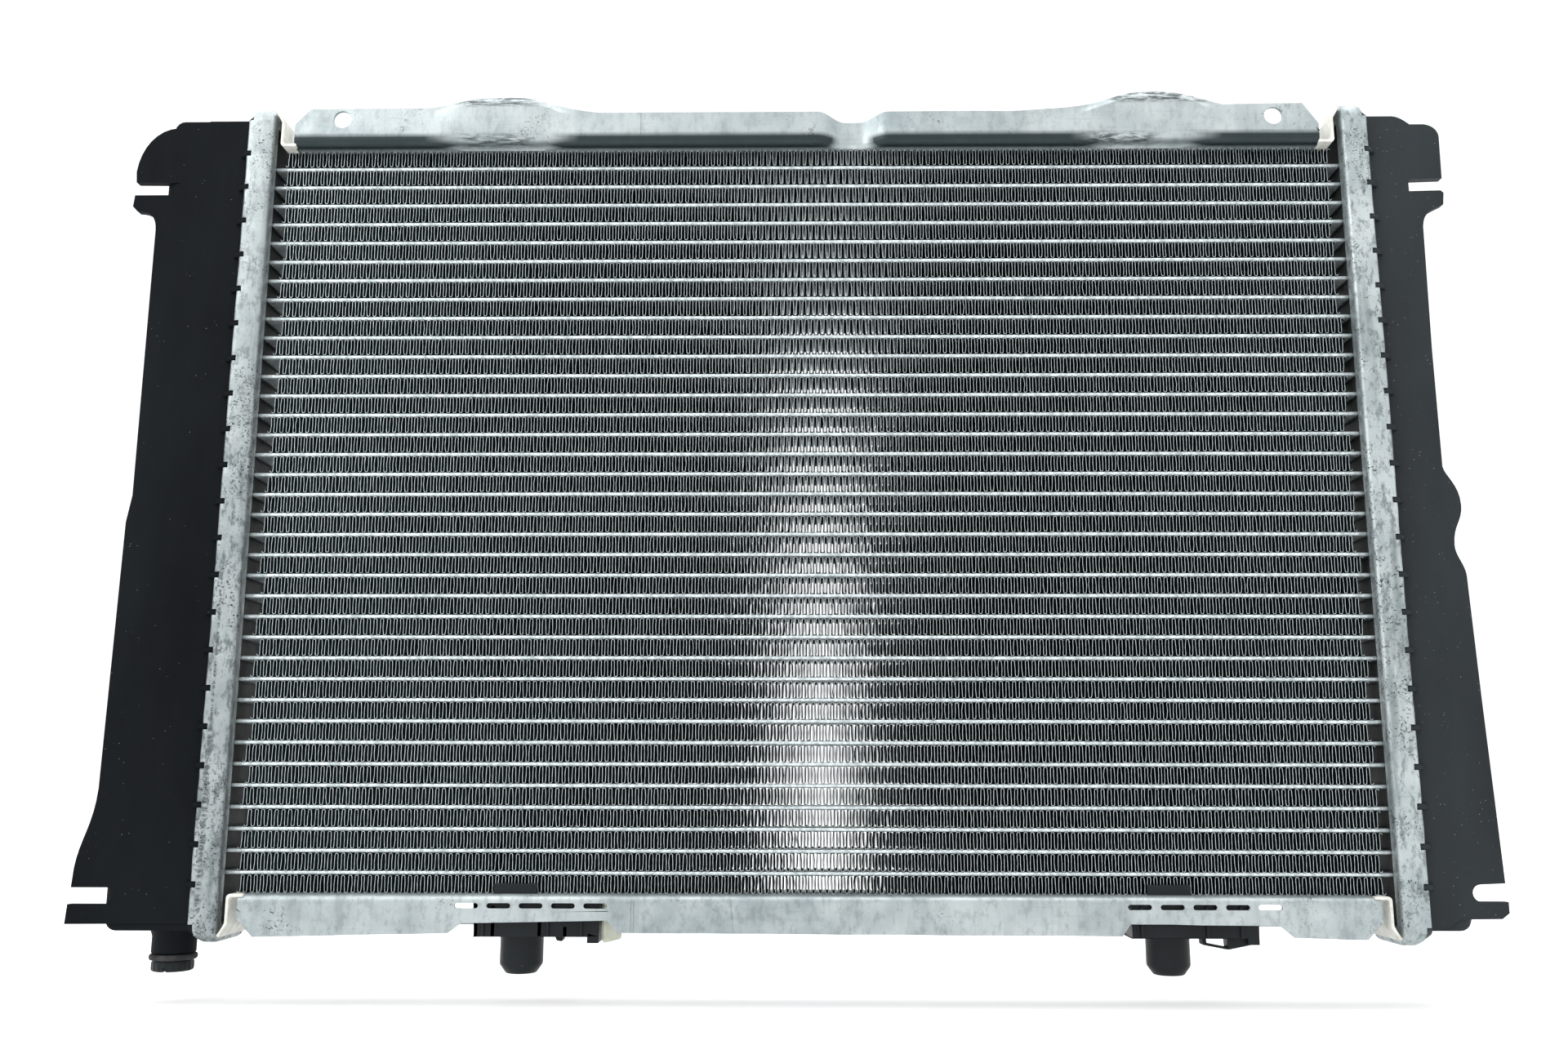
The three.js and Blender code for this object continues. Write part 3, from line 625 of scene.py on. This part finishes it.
def rounded_loop(inset, stations):
    """Points of the header's outline moved in by inset, at the same stations for every inset."""
    half_depth = HEADER_HALF_DEPTH - inset
    half_height = HEADER_HALF_HEIGHT - inset
    radius = max(HEADER_CORNER - inset, 0.8)
    flat = HEADER_HALF_HEIGHT - HEADER_CORNER
    points = []
    for face in (-1, 1):
        heights = stations if face < 0 else stations[::-1]
        points += [(face * half_depth, CORE_MIDDLE + z * (half_height - radius) / flat) for z in heights]
        end = 1 if face < 0 else -1
        for corner in (face, -face):
            centre = (corner * (half_depth - radius), CORE_MIDDLE + end * (half_height - radius))
            angles = (180, 90) if corner * end < 0 else (90, 0)
            if face > 0:
                angles = (0, -90) if corner > 0 else (-90, -180)
            points += arc(centre, radius, *angles, 5)
    return points


def header(name, side):
    """A pressed tube plate: ridge, rim, wall and the crimped tabs, with a notch between each two."""
    flat = HEADER_HALF_HEIGHT - HEADER_CORNER
    marks = {-flat, flat}
    notches = [(i - (NOTCH_COUNT - 1) / 2) * NOTCH_PITCH for i in range(NOTCH_COUNT)]
    for middle in notches:
        marks |= {middle - NOTCH_WIDTH / 2, middle + NOTCH_WIDTH / 2}
        marks |= {middle - NOTCH_PITCH / 4 - 1, middle + NOTCH_PITCH / 4 + 1}
    stations = sorted(m for m in marks if abs(m) <= flat)
    rim, tab = 2.6, 1.3
    bend = [(rim - rim * math.sin(a), RIM + rim - rim * math.cos(a))
            for a in np.linspace(0, math.pi / 2, 6)]
    crimp = [(tab - tab * math.cos(a), WALL_END - tab + tab * math.sin(a))
             for a in np.linspace(0, math.pi / 2, 4)]
    profile = [(9.3, RIM + 2.2), (8.6, RIM + 2.0), (7.9, RIM + 0.4), (7.2, RIM)]
    profile += bend + [(0, WALL_END - NOTCH_DEPTH)] + crimp + [(3.2, WALL_END)]
    notch_row = len(profile) - len(crimp) - 2
    loops = np.array([rounded_loop(inset, stations) for inset, _ in profile])
    count = loops.shape[1]
    wave = 0.22 * np.sin(np.arange(count) * 1.7) + 0.12 * rng.standard_normal(count)
    points = []
    for (inset, x), loop in zip(profile, loops):
        for j, (y, z) in enumerate(loop):
            past = max(0, abs(z - CORE_MIDDLE) - (HEADER_HALF_HEIGHT - 7.1))
            reach = min(x, WALL_END - 0.89 * past) if x > RIM + 3 else x
            bulge = 0.35 * wave[j] if x > RIM + 6 and past == 0 else 0
            points.append((side * min(reach + bulge, WALL_END), y, z))
    faces = []
    for i in range(len(profile) - 1):
        for j in range(count):
            k = (j + 1) % count
            z = (loops[0][j][1] + loops[0][k][1]) / 2 - CORE_MIDDLE
            long_side = abs(loops[-1][j][0]) > HEADER_HALF_DEPTH - 6 and abs(z) < flat
            in_notch = long_side and any(abs(z - n) < NOTCH_WIDTH / 2 for n in notches)
            at_end = abs(z) > HEADER_HALF_HEIGHT - 14
            if i >= notch_row and (in_notch or at_end):
                continue
            faces.append([i * count + j, i * count + k, (i + 1) * count + k, (i + 1) * count + j])
    build = Build()
    build.add(points, faces)
    made = piece(name, build, [HEADER_METALS[name[len("tube_plate_"):]]],
                 [name.replace("tube_plate", "header")], smooth=40)
    solidify = made.modifiers.new("sheet", "SOLIDIFY")
    solidify.thickness = HEADER_SHEET * MM
    solidify.offset = -1
    rounding = made.modifiers.new("rounding", "BEVEL")
    rounding.width = 0.25 * MM
    rounding.segments = 2
    rounding.limit_method = "ANGLE"
    rounding.angle_limit = math.radians(50)
    tube_field(name + "_field", side)


def tube_field(name, side):
    """The flat middle of a header, slotted for the tubes, with a raised collar round each slot."""
    build = Build()
    near, far = sorted((side * (RIM + 1.2), side * (RIM + 2.4)))
    half_depth, slot_half = 11.3, TUBE_DEPTH / 2
    low, high = CORE_MIDDLE - SLOTS_HALF_HEIGHT, CORE_MIDDLE + SLOTS_HALF_HEIGHT
    levels = [low]
    for i in range(TUBE_COUNT):
        levels += [i * TUBE_PITCH - TUBE_HEIGHT / 2, i * TUBE_PITCH + TUBE_HEIGHT / 2]
    levels.append(high)
    for a, b in zip(levels[::2], levels[1::2]):
        build.box((near, far), (-slot_half, slot_half), (a, b))
    for y in (-1, 1):
        build.box((near, far), (y * slot_half, y * (half_depth + 1.6)), (low, high))
    for i in range(TUBE_COUNT):
        for rise in (-1, 1):
            z0 = i * TUBE_PITCH + rise * TUBE_HEIGHT / 2
            collar = (side * (RIM + 0.3), side * (RIM + 1.3))
            build.box(collar, (-slot_half, slot_half), (z0, z0 + rise * 0.7))
    # Its near-black material is painted shade.
    piece(name, build, [FIELD_SHADE], [], bevel=0.15)


header("tube_plate_left", -1)
header("tube_plate_right", 1)
for name in ("gasket_left", "gasket_right"):
    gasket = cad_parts[name]
    gasket.data.materials.clear()
    gasket.data.materials.append(RUBBER)


# ---------- Tanks ----------

LEFT_PLATE = outline(
    (PLATE_START, TANK_TOP), (317, TANK_TOP), (319.5, 386), (334, 385.7),
    bezier((334, 385.7), (345, 385), (353, 375), (354.3, 361)),
    (353.8, 355), (331, 354.7), (331, 347.8), (354, 347.8), (354.6, 341.5), (352, 338.8),
    bezier((352, 338.8), (345, 338.5), (341.6, 336), (341.5, 328)),
    (341.2, 186), (343.4, 172), (345, 40),
    bezier((345, 40), (346, 22), (352, 16), (353.6, 2)),
    (354.2, -6.9), arc((336.6, -10.8), 3.9, 90, 270, 10),
    (355.2, -14.7), (355.8, -24), (PLATE_START, -23.6),
)
RIGHT_PLATE = outline(
    (PLATE_START, TANK_TOP), (309.6, TANK_TOP),
    bezier((309.6, TANK_TOP), (313, 389.3), (316, 387), (318.5, 384.9)),
    (326, 384.9), bezier((326, 384.9), (330, 384.3), (333, 382), (333.4, 378)),
    (333, 354.5), (315.2, 353.9), (315.2, 347.4), (331.8, 347.8), (333.3, 346.5), (332.6, 340),
    bezier((332.6, 340), (326, 336.5), (322, 336), (321.2, 328)),
    (320.2, 262), (320.3, 200),
    bezier((320.3, 200), (321, 195), (327.9, 191), (327.9, 180)),
    bezier((327.9, 180), (327.9, 172), (323, 170), (322.9, 160)),
    bezier((322.9, 160), (322.9, 154), (327, 151), (327.6, 144.6)),
    (329.5, 84), (332.8, -3.5), arc((321, -8), 4, 90, 270, 10),
    (333.6, -12), (333.6, -17.2), (330, -19.9), (310, -20.2), (305, -24), (PLATE_START, -25),
)


def tank_body(build, side, flank, bottom):
    """The hollow behind the front plate, as a closed shape with rounded flank and ends."""
    radius = TANK_CORNER
    section = outline(
        (TANK_START, BODY_BACK), (TANK_START, BODY_FRONT),
        arc((flank - radius, BODY_FRONT + radius), radius, -90, 0, 8),
        arc((flank - radius, BODY_BACK - radius), radius, 0, 90, 8),
    )
    rounding = [(radius * (1 - math.sin(a)), radius * (1 - math.cos(a)))
                for a in np.linspace(math.pi / 2, 0, 8)]
    levels = [(bottom + rise, inset) for rise, inset in rounding]
    levels += [(TANK_TOP - rise, inset) for rise, inset in rounding[::-1]]
    build.loft([[(side * min(x, flank - inset), y, z) for x, y in section] for z, inset in levels])


def hose_neck(build, x, z, radius, bore, reach):
    """A hose neck pointing back, with a bead, a lead-in and an open bore."""
    profile = [(radius + 2.4, 14), (radius + 2.4, 16), (radius + 1, 17.6)]
    profile += [(radius, 19), (radius, reach - 10.5)]
    profile += [(radius + 1.4 * math.sin(a), reach - 8 - 2.5 * math.cos(a))
                for a in np.linspace(0, math.pi, 7)]
    profile += [(radius, reach - 1.4), (radius - 0.5, reach - 0.4), (radius - 1.2, reach)]
    profile += [(bore + 0.6, reach), (bore, reach - 0.8), (bore, 14), (radius + 2.4, 14)]
    build.turned(profile, (x, 0, z), "y", 64)


def crimp_lugs(build, side):
    """The ribs of the tank's foot that show through the notches between the crimped tabs."""
    for i in range(NOTCH_COUNT):
        z = CORE_MIDDLE + (i - (NOTCH_COUNT - 1) / 2) * NOTCH_PITCH
        for face in (-1, 1):
            xs = (291.4, 292.4, 295.5, 298.3, 299.2)
            ys = (19.9, 20.3, 20.0, 17.6, 15.2)
            half = (1.0, 1.3, 1.3, 1.1, 0.9)
            sections = []
            for x, y, w in zip(xs, ys, half):
                loop = [(-w, 14.5), (-w, y - 0.5), (-w * 0.5, y), (w * 0.5, y), (w, y - 0.5), (w, 14.5)]
                sections.append([(side * x, face * b, z + a) for a, b in loop])
            build.loft(sections)


def tank_foot(build, side):
    """The flange that the tabs are crimped over."""
    sections = []
    flat = HEADER_HALF_HEIGHT - HEADER_CORNER
    for x, inset in ((285.2, 2.6), (286, 1.7), (292.4, 1.7), (293.1, 2.4), (296.5, 4.6)):
        sections.append([(side * x, y, z) for y, z in rounded_loop(inset, [-flat, flat])])
    build.loft(sections)


def back_ribs(build, side, flank, bottom):
    """Low stiffening ribs across the back of the tank."""
    for z in np.arange(bottom + 62, TANK_TOP - 80, 34):
        build.box((side * 299, side * (flank - 6)), (14.9, 17.1), (z - 1, z + 1))


def tank(name, side, flank, bottom, plate, neck, extra=None):
    build = Build()
    tank_foot(build, side)
    tank_body(build, side, flank, bottom)
    build.extruded([(side * x, z) for x, z in plate], PLATE_FRONT, PLATE_FRONT + PLATE_THICKNESS)
    back_ribs(build, side, flank, bottom)
    crimp_lugs(build, side)
    hose_neck(build, *neck)
    if extra:
        extra(build)
    piece(f"end_tank_{name}", build, [TANK_PLASTICS[name]], [f"tank_{name}"], bevel=0.45)


def spigot(build):
    """The drain spigot, which swells out of the tank's foot, with its open bore."""
    radius, end, bore = SPIGOT_RADIUS, SPIGOT_END, SPIGOT_BORE
    profile = [(radius + 2.2, -24), (11.6, -27), (10.9, -28.6), (radius, -30.5)]
    profile += [(radius, end + 0.6), (radius - 0.5, end), (bore + 0.4, end), (bore, end + 0.5)]
    profile += [(bore, -24), (radius + 2.2, -24)]
    build.turned(profile[::-1], (DRAIN_X, 0, 0), "z", 64)


INLET_NECK = (-318, 340, 16, 13, 47.5)
OUTLET_NECK = (309.5, 30, 14, 11, 47.5)
tank("left", -1, LEFT_FLANK, LEFT_BOTTOM, LEFT_PLATE, INLET_NECK, spigot)
tank("right", 1, RIGHT_FLANK, RIGHT_BOTTOM, RIGHT_PLATE, OUTLET_NECK)


# ---------- Drain plug ----------


def drain_plug():
    """Head with a coin slot and grip flutes, and a threaded shank."""
    build = Build()
    sides, flutes = 72, 18
    rings = []
    for radius, z in ((8.9, -47), (9.6, -46.5), (9.8, -45.8), (9.8, -43), (9.3, -42), (6.4, -42)):
        ring = []
        for i in range(sides):
            a = 2 * math.pi * i / sides
            dip = 0.35 * max(0, math.cos(flutes * a)) if radius > 9.5 else 0
            ring.append((DRAIN_X + (radius - dip) * math.cos(a), (radius - dip) * math.sin(a), z))
        rings.append(ring)
    build.loft(rings)
    thread = []
    per_turn = 24
    steps = THREAD_TURNS * per_turn
    for j in range(steps + 1):
        z = -41.8 + j * THREAD_PITCH / per_turn
        ring = []
        for i in range(per_turn):
            a = 2 * math.pi * i / per_turn
            phase = (z / THREAD_PITCH - i / per_turn) % 1
            crest = 1 - abs(2 * phase - 1)
            fade = min(1, j / per_turn, (steps - j) / per_turn)
            r = 6.0 + 0.7 * crest * fade
            ring.append((DRAIN_X + r * math.cos(a), r * math.sin(a), z))
        thread.append(ring)
    build.loft(thread)
    made = piece("drain_plug_body", build, [FOOT_PLASTIC],
                 ["drain_plug"], "drain_plug", 30)
    coin_slot = Build()
    coin_slot.box((DRAIN_X - 0.9, DRAIN_X + 0.9), (-11, 11), (-48, -45))
    cut(made, coin_slot)


def cut(made, cutter):
    """Takes the cutter's shells out of a piece for good."""
    mesh = bpy.data.meshes.new("cutter")
    mesh.from_pydata(place(cutter.points).tolist(), [], cutter.faces)
    work = bmesh.new()
    work.from_mesh(mesh)
    bmesh.ops.recalc_face_normals(work, faces=work.faces)
    work.to_mesh(mesh)
    work.free()
    tool = bpy.data.objects.new("cutter", mesh)
    bpy.context.scene.collection.objects.link(tool)
    modifier = made.modifiers.new("cut", "BOOLEAN")
    modifier.object = tool
    modifier.operation = "DIFFERENCE"
    modifier.solver = "EXACT"
    bpy.context.view_layer.update()
    graph = bpy.context.evaluated_depsgraph_get()
    result = bpy.data.meshes.new_from_object(made.evaluated_get(graph))
    made.modifiers.clear()
    made.data = result
    result.shade_smooth()
    result.set_sharp_from_angle(angle=math.radians(32))
    bpy.data.objects.remove(tool)


def plug_seal():
    """A ring with a rounded outside, between the plug's head and the spigot."""
    build = Build()
    bulge = [(10.3 + 0.85 * math.cos(a), -40.35 + 1.35 * math.sin(a))
             for a in np.radians(np.linspace(-90, 90, 9))]
    profile = [(7.1, -41.7), *bulge, (7.1, -39), (7.1, -41.7)]
    build.turned(profile, (DRAIN_X, 0, 0), "z", 64)
    piece("plug_seal_ring", build, [RUBBER], ["drain_plug_seal"], "plug_seal", 40)


drain_plug()
plug_seal()


# ---------- Side plates ----------

TOP_EDGE = np.array(outline(
    (-270, 385.5), (-262, 394.2), (-198, 394.5),
    bezier((-198, 394.5), (-186, 396.5), (-184, 401.2), (-156, 401)),
    bezier((-156, 401), (-136, 400.8), (-132, 393), (-109, 391.5)),
    (110, 391.5), (138, 393.4),
    bezier((138, 393.4), (158, 395), (163, 402.8), (183, 402.8)),
    bezier((183, 402.8), (203, 402.8), (206, 398), (220, 394.6)),
    (261.5, 395.2), (269.5, 383.5),
))
BOTTOM_EDGE = np.array([
    (-271.5, -20.7), (-263.4, -29.2), (-170.3, -27.2), (-164, -22.7), (-94.5, -21.3), (-89.9, -27),
    (149.3, -27.8), (153.3, -22.3), (223.7, -22.9), (230.2, -28.3), (264.4, -29.2), (272.3, -21),
])
GUSSETS = ((-198, -122), (142, 216))  # where the top channel is swaged out
GUSSET_RAMP = 16
DENT = (7, 21, 29, 44)  # start, full depth from and to, end
DENT_DEPTH, DENT_DROP = 7, 3
PLAIN_FLANGE = 17.6
BACK_WINDOWS = ((-186, -160), (217, 243))  # cut from the bottom channel's back flange


def rise_and_fall(x, start, full, still, end):
    """0 outside start..end, 1 from full to still, smooth between."""
    t = min(1, max(0, (x - start) / (full - start))) * min(1, max(0, (end - x) / (end - still)))
    return t * t * (3 - 2 * t)


def channel_section(x, up, base, edge, gusset, dent):
    """A side plate's closed section at one station, its outer line and then its inner line."""
    back = SIDE_HALF_DEPTH
    front = -SIDE_HALF_DEPTH + DENT_DEPTH * dent
    line = [(back, PLAIN_FLANGE), (back, PLAIN_FLANGE * 0.6), (back, SIDE_BEND)]
    line += [(back - SIDE_BEND * (1 - math.cos(a)), SIDE_BEND * (1 - math.sin(a)))
             for a in np.linspace(0.3, math.pi / 2, 5)]
    line += [(0, 0)]
    reach = SIDE_BEND + 3.3 * gusset
    rise = SIDE_BEND + 2.6 * gusset
    for a in np.linspace(math.pi / 2, 0, 7):
        round_y, round_z = reach * (1 - math.cos(a)), rise * (1 - math.sin(a))
        t = 1 - a / (math.pi / 2)
        flat_y, flat_z = reach * (1 - t), rise * t
        share = 0.75 * gusset
        y = front + round_y * (1 - share) + flat_y * share
        line.append((y, round_z * (1 - share) + flat_z * share))
    height = abs(edge - base)
    swell, roll = 0.8 * gusset, 1.3 * gusset
    for t in (0.25, 0.5):
        line.append((front - swell * t * 1.6, rise + (height - rise) * t))
    line += [(front - swell, height - 4.4), (front - swell, height - 3.6)]
    line += [(front + roll * part, height - drop) for part, drop in ((0.35, 2.6), (0.75, 1), (1, 0))]
    outer = np.array(line)
    along = np.gradient(outer, axis=0)
    along /= np.linalg.norm(along, axis=1)[:, None]
    inner = outer + SIDE_SHEET * np.stack([along[:, 1], -along[:, 0]], 1)
    return [(x, y, base + up * z) for y, z in np.concatenate([outer, inner[::-1]])]


def side_plate(name, up, base, edge, gussets, dent, metal):
    """A bent channel whose front flange follows its edge line."""
    marks = sorted({*edge[:, 0], *np.arange(edge[0][0], edge[-1][0], 2.5)})
    uneven = np.interp(marks, np.linspace(-SIDE_HALF, SIDE_HALF, 40), 0.14 * rng.standard_normal(40))
    sections = []
    for x, wobble in zip(marks, uneven):
        gusset = max([rise_and_fall(x, a, a + GUSSET_RAMP, b - GUSSET_RAMP, b) for a, b in gussets],
                     default=0)
        pressed = rise_and_fall(x, *dent) if dent else 0
        z = float(np.interp(x, edge[:, 0], edge[:, 1])) - DENT_DROP * pressed
        sections.append(channel_section(x, up, base, z + 0.5 * wobble, gusset, pressed))
    build = Build()
    build.loft(sections)
    node = {1: "top_side_plate", -1: "bottom_side_plate"}[up]
    return piece(name, build, [metal], [node], smooth=38)


def end_lips(name, up, base):
    """The coated lips at both ends of a side plate, which turn along the header and lean towards it."""
    build = Build()
    for side in (-1, 1):
        reach = [(269, 0), (275.2, 0)]
        reach += [(275.2 + 2 * math.sin(a), 2 - 2 * math.cos(a)) for a in np.linspace(0.3, math.pi / 2, 4)]
        reach += [(277.2, 13.5), (278, 15.2), (280.6, 19.4)]
        inner = [(279.4, 20.3), (276.9, 16.0), (275.7, 14), (275.7, 2.6), (275.0, 1.5), (269, 1.5)]
        profile = [(side * x, base + up * z) for x, z in reach + inner]
        build.extruded(profile, -SIDE_HALF_DEPTH, SIDE_HALF_DEPTH)
    piece(name, build, [LIP_COAT], [], bevel=0.35)


def cylinder_cutter(cutter, x, z, radius, y0, y1):
    ring = arc((x, z), radius, 0, 360, 32)[:-1]
    cutter.loft([[(a, y0, b) for a, b in ring], [(a, y1, b) for a, b in ring]])


def scribe(cutter, x0, z0, x1, z1, face):
    """A shallow scratched groove in a flange, from one point of its face to another."""
    half, over, depth = 0.22, 1, 0.3
    corners = ((-half, -over), (half, -over), (half, depth), (-half, depth))
    cutter.loft([[(x + dx, face + dy, z) for dx, dy in corners] for x, z in ((x0, z0), (x1, z1))])


def stadium(x, z, length, height):
    reach = length / 2 - height / 2
    return arc((x + reach, z), height / 2, -90, 90, 6) + arc((x - reach, z), height / 2, 90, 270, 6)


top_plate = side_plate("top_channel", 1, CORE_TOP, TOP_EDGE, GUSSETS, DENT, TOP_METAL)
holes = Build()
for x in HOLES_X:
    cylinder_cutter(holes, x, HOLES_Z, HOLE_RADIUS, -24, -14)
scribe(holes, -86.7, 392, -86.5, 379, -SIDE_HALF_DEPTH)
cut(top_plate, holes)
end_lips("top_channel_lips", 1, CORE_TOP)

bottom_plate = side_plate("bottom_channel", -1, CORE_BOTTOM, BOTTOM_EDGE, (), None, BOTTOM_METAL)
slots = Build()
for start in SLOT_ROWS:
    for i in range(SLOTS_IN_ROW):
        shape = stadium(start + i * SLOT_PITCH, -14.6, 11.4, 2.5)
        slots.loft([[(a, -24, b) for a, b in shape], [(a, -14, b) for a, b in shape]])
for x0, x1 in BACK_WINDOWS:
    slots.box((x0, x1), (14, 24), (-24, -13))
for offset in (0, 1.2):
    scribe(slots, -83.2 + offset, -12, -83.1 + offset, -27.5, -SIDE_HALF_DEPTH)
scribe(slots, -36.6, -5.5, -34.3, -27.8, -SIDE_HALF_DEPTH)
cut(bottom_plate, slots)
end_lips("bottom_channel_lips", -1, CORE_BOTTOM)

# The stop tab's cream colour is a painted reflection on bare metal.
stop_tab = Build()
lean = math.radians(-19)
across, along = Vector((math.cos(lean), math.sin(lean))), Vector((-math.sin(lean), math.cos(lean)))
corners = [across * a * 0.75 + along * b * 10 for a, b in ((-1, -1), (1, -1), (1, 1), (-1, 1))]
levels = ((-9.8, 1), (-28, 1), (-31.6, 0.94), (-32.8, 0.82))
stop_tab.loft([[(-94.6 + c.x * w, c.y * w, z) for c in corners] for z, w in levels])
piece("bottom_channel_stop_tab", stop_tab, [TAB_CREAM_REFLECTION], [], bevel=0.3)


# ---------- Feet ----------


# Outlines seen from the front, as (x from the pin, z).
LATCHES = {
    "left": [[(18, -29), (19, -31.2), (21.6, -31.6), (22.6, -29)]],
    "right": [
        [(13.4, -29), (13.6, -32.4), (25.6, -34.6), (25.6, -33.6), (15.4, -31.7), (15.2, -29)],
        [(25, -29), (25.4, -34.6), (38.6, -32), (38.6, -29)],
    ],
}


def foot(name, pin, latch):
    """A moulded foot: a ribbed block in the bottom channel, a snap tab, a latch and a round pin."""
    left, right, half_depth, top, bottom = 20.5, 39.5, 16.5, -11.3, -29.2
    wall, deck = 2.4, 2.5
    upright = (bottom, top - 1)
    across = (-half_depth, half_depth)
    build = Build()
    x0, x1 = pin - left, pin + right
    build.box((x0, x1), across, (top - deck, top))
    build.box((x0, x1), (-wall / 2, wall / 2), upright)
    for y in (-half_depth, half_depth - wall):
        build.box((x0, x1), (y, y + wall), upright)
    for x in (x0, pin - 12.4, pin + 10, pin + 22.2):
        build.box((x, x + wall), across, upright)
    build.box((x1 - 5.5, x1), across, (bottom - 2.8, top - 1))
    for x in (pin - 16.6, pin + 14.4, pin + 30.5):
        build.box((x, x + 1.5), (-half_depth - 1.3, -half_depth + 1), (bottom + 0.4, top - 3))
    for shape in latch:
        build.extruded([(pin + x, z) for x, z in shape], -13, -6)
    middle = pin - 1.5
    build.box((middle - 10.4, middle + 10.4), (-14.3, -12.8), (-4.7, top - 1))
    profile = [(0.01, -47.5), (7, -47.5), (7.6, -47.1), (10.1, -43.6), (10.4, -42.6)]
    profile += [(10.4, -31), (11.2, -29.5), (11.2, top - 1), (0.01, top - 1)]
    build.turned(profile, (pin, 0, 0), "z", 64)
    piece(name, build, [FOOT_PLASTIC], [name.replace("mount_foot", "foot")], bevel=0.35)


for (side, latch), pin in zip(LATCHES.items(), FOOT_PINS):
    foot("mount_foot_" + side, pin, latch)


# ---------- Stage and light ----------

bpy.ops.mesh.primitive_plane_add(size=24, location=(0, 0, cad_low.z - PLUG_ROOM * MM))
floor = bpy.context.object
floor.name = "floor"
floor.data.materials.append(pale_floor())

world = bpy.data.worlds.new("studio")
bpy.context.scene.world = world
world.use_nodes = True
world.node_tree.nodes["Background"].inputs["Color"].default_value = (1, 1, 1, 1)
world.node_tree.nodes["Background"].inputs["Strength"].default_value = 1.1


def soft_light(name, location, target, size, power):
    """A rectangular area light aimed at target. size is in metres and power in watts."""
    data = bpy.data.lights.new(name, "AREA")
    data.shape = "RECTANGLE"
    data.size, data.size_y = size
    data.energy = power
    light = bpy.data.objects.new(name, data)
    bpy.context.scene.collection.objects.link(light)
    light.location = location
    light.rotation_euler = (Vector(target) - Vector(location)).to_track_quat("-Z", "Y").to_euler()


middle = (cad_low + cad_high) / 2
soft_light("softbox_left", (-1.3, -1.1, 1.1), middle, (1.0, 1.0), 11)
soft_light("softbox_right", (1.2, -1.2, 0.9), middle, (0.9, 0.9), 1)
soft_light("overhead", middle + Vector((0, -0.1, 2.0)), middle, (3.0, 3.0), 55)

bpy.context.scene.view_settings.view_transform = "Standard"
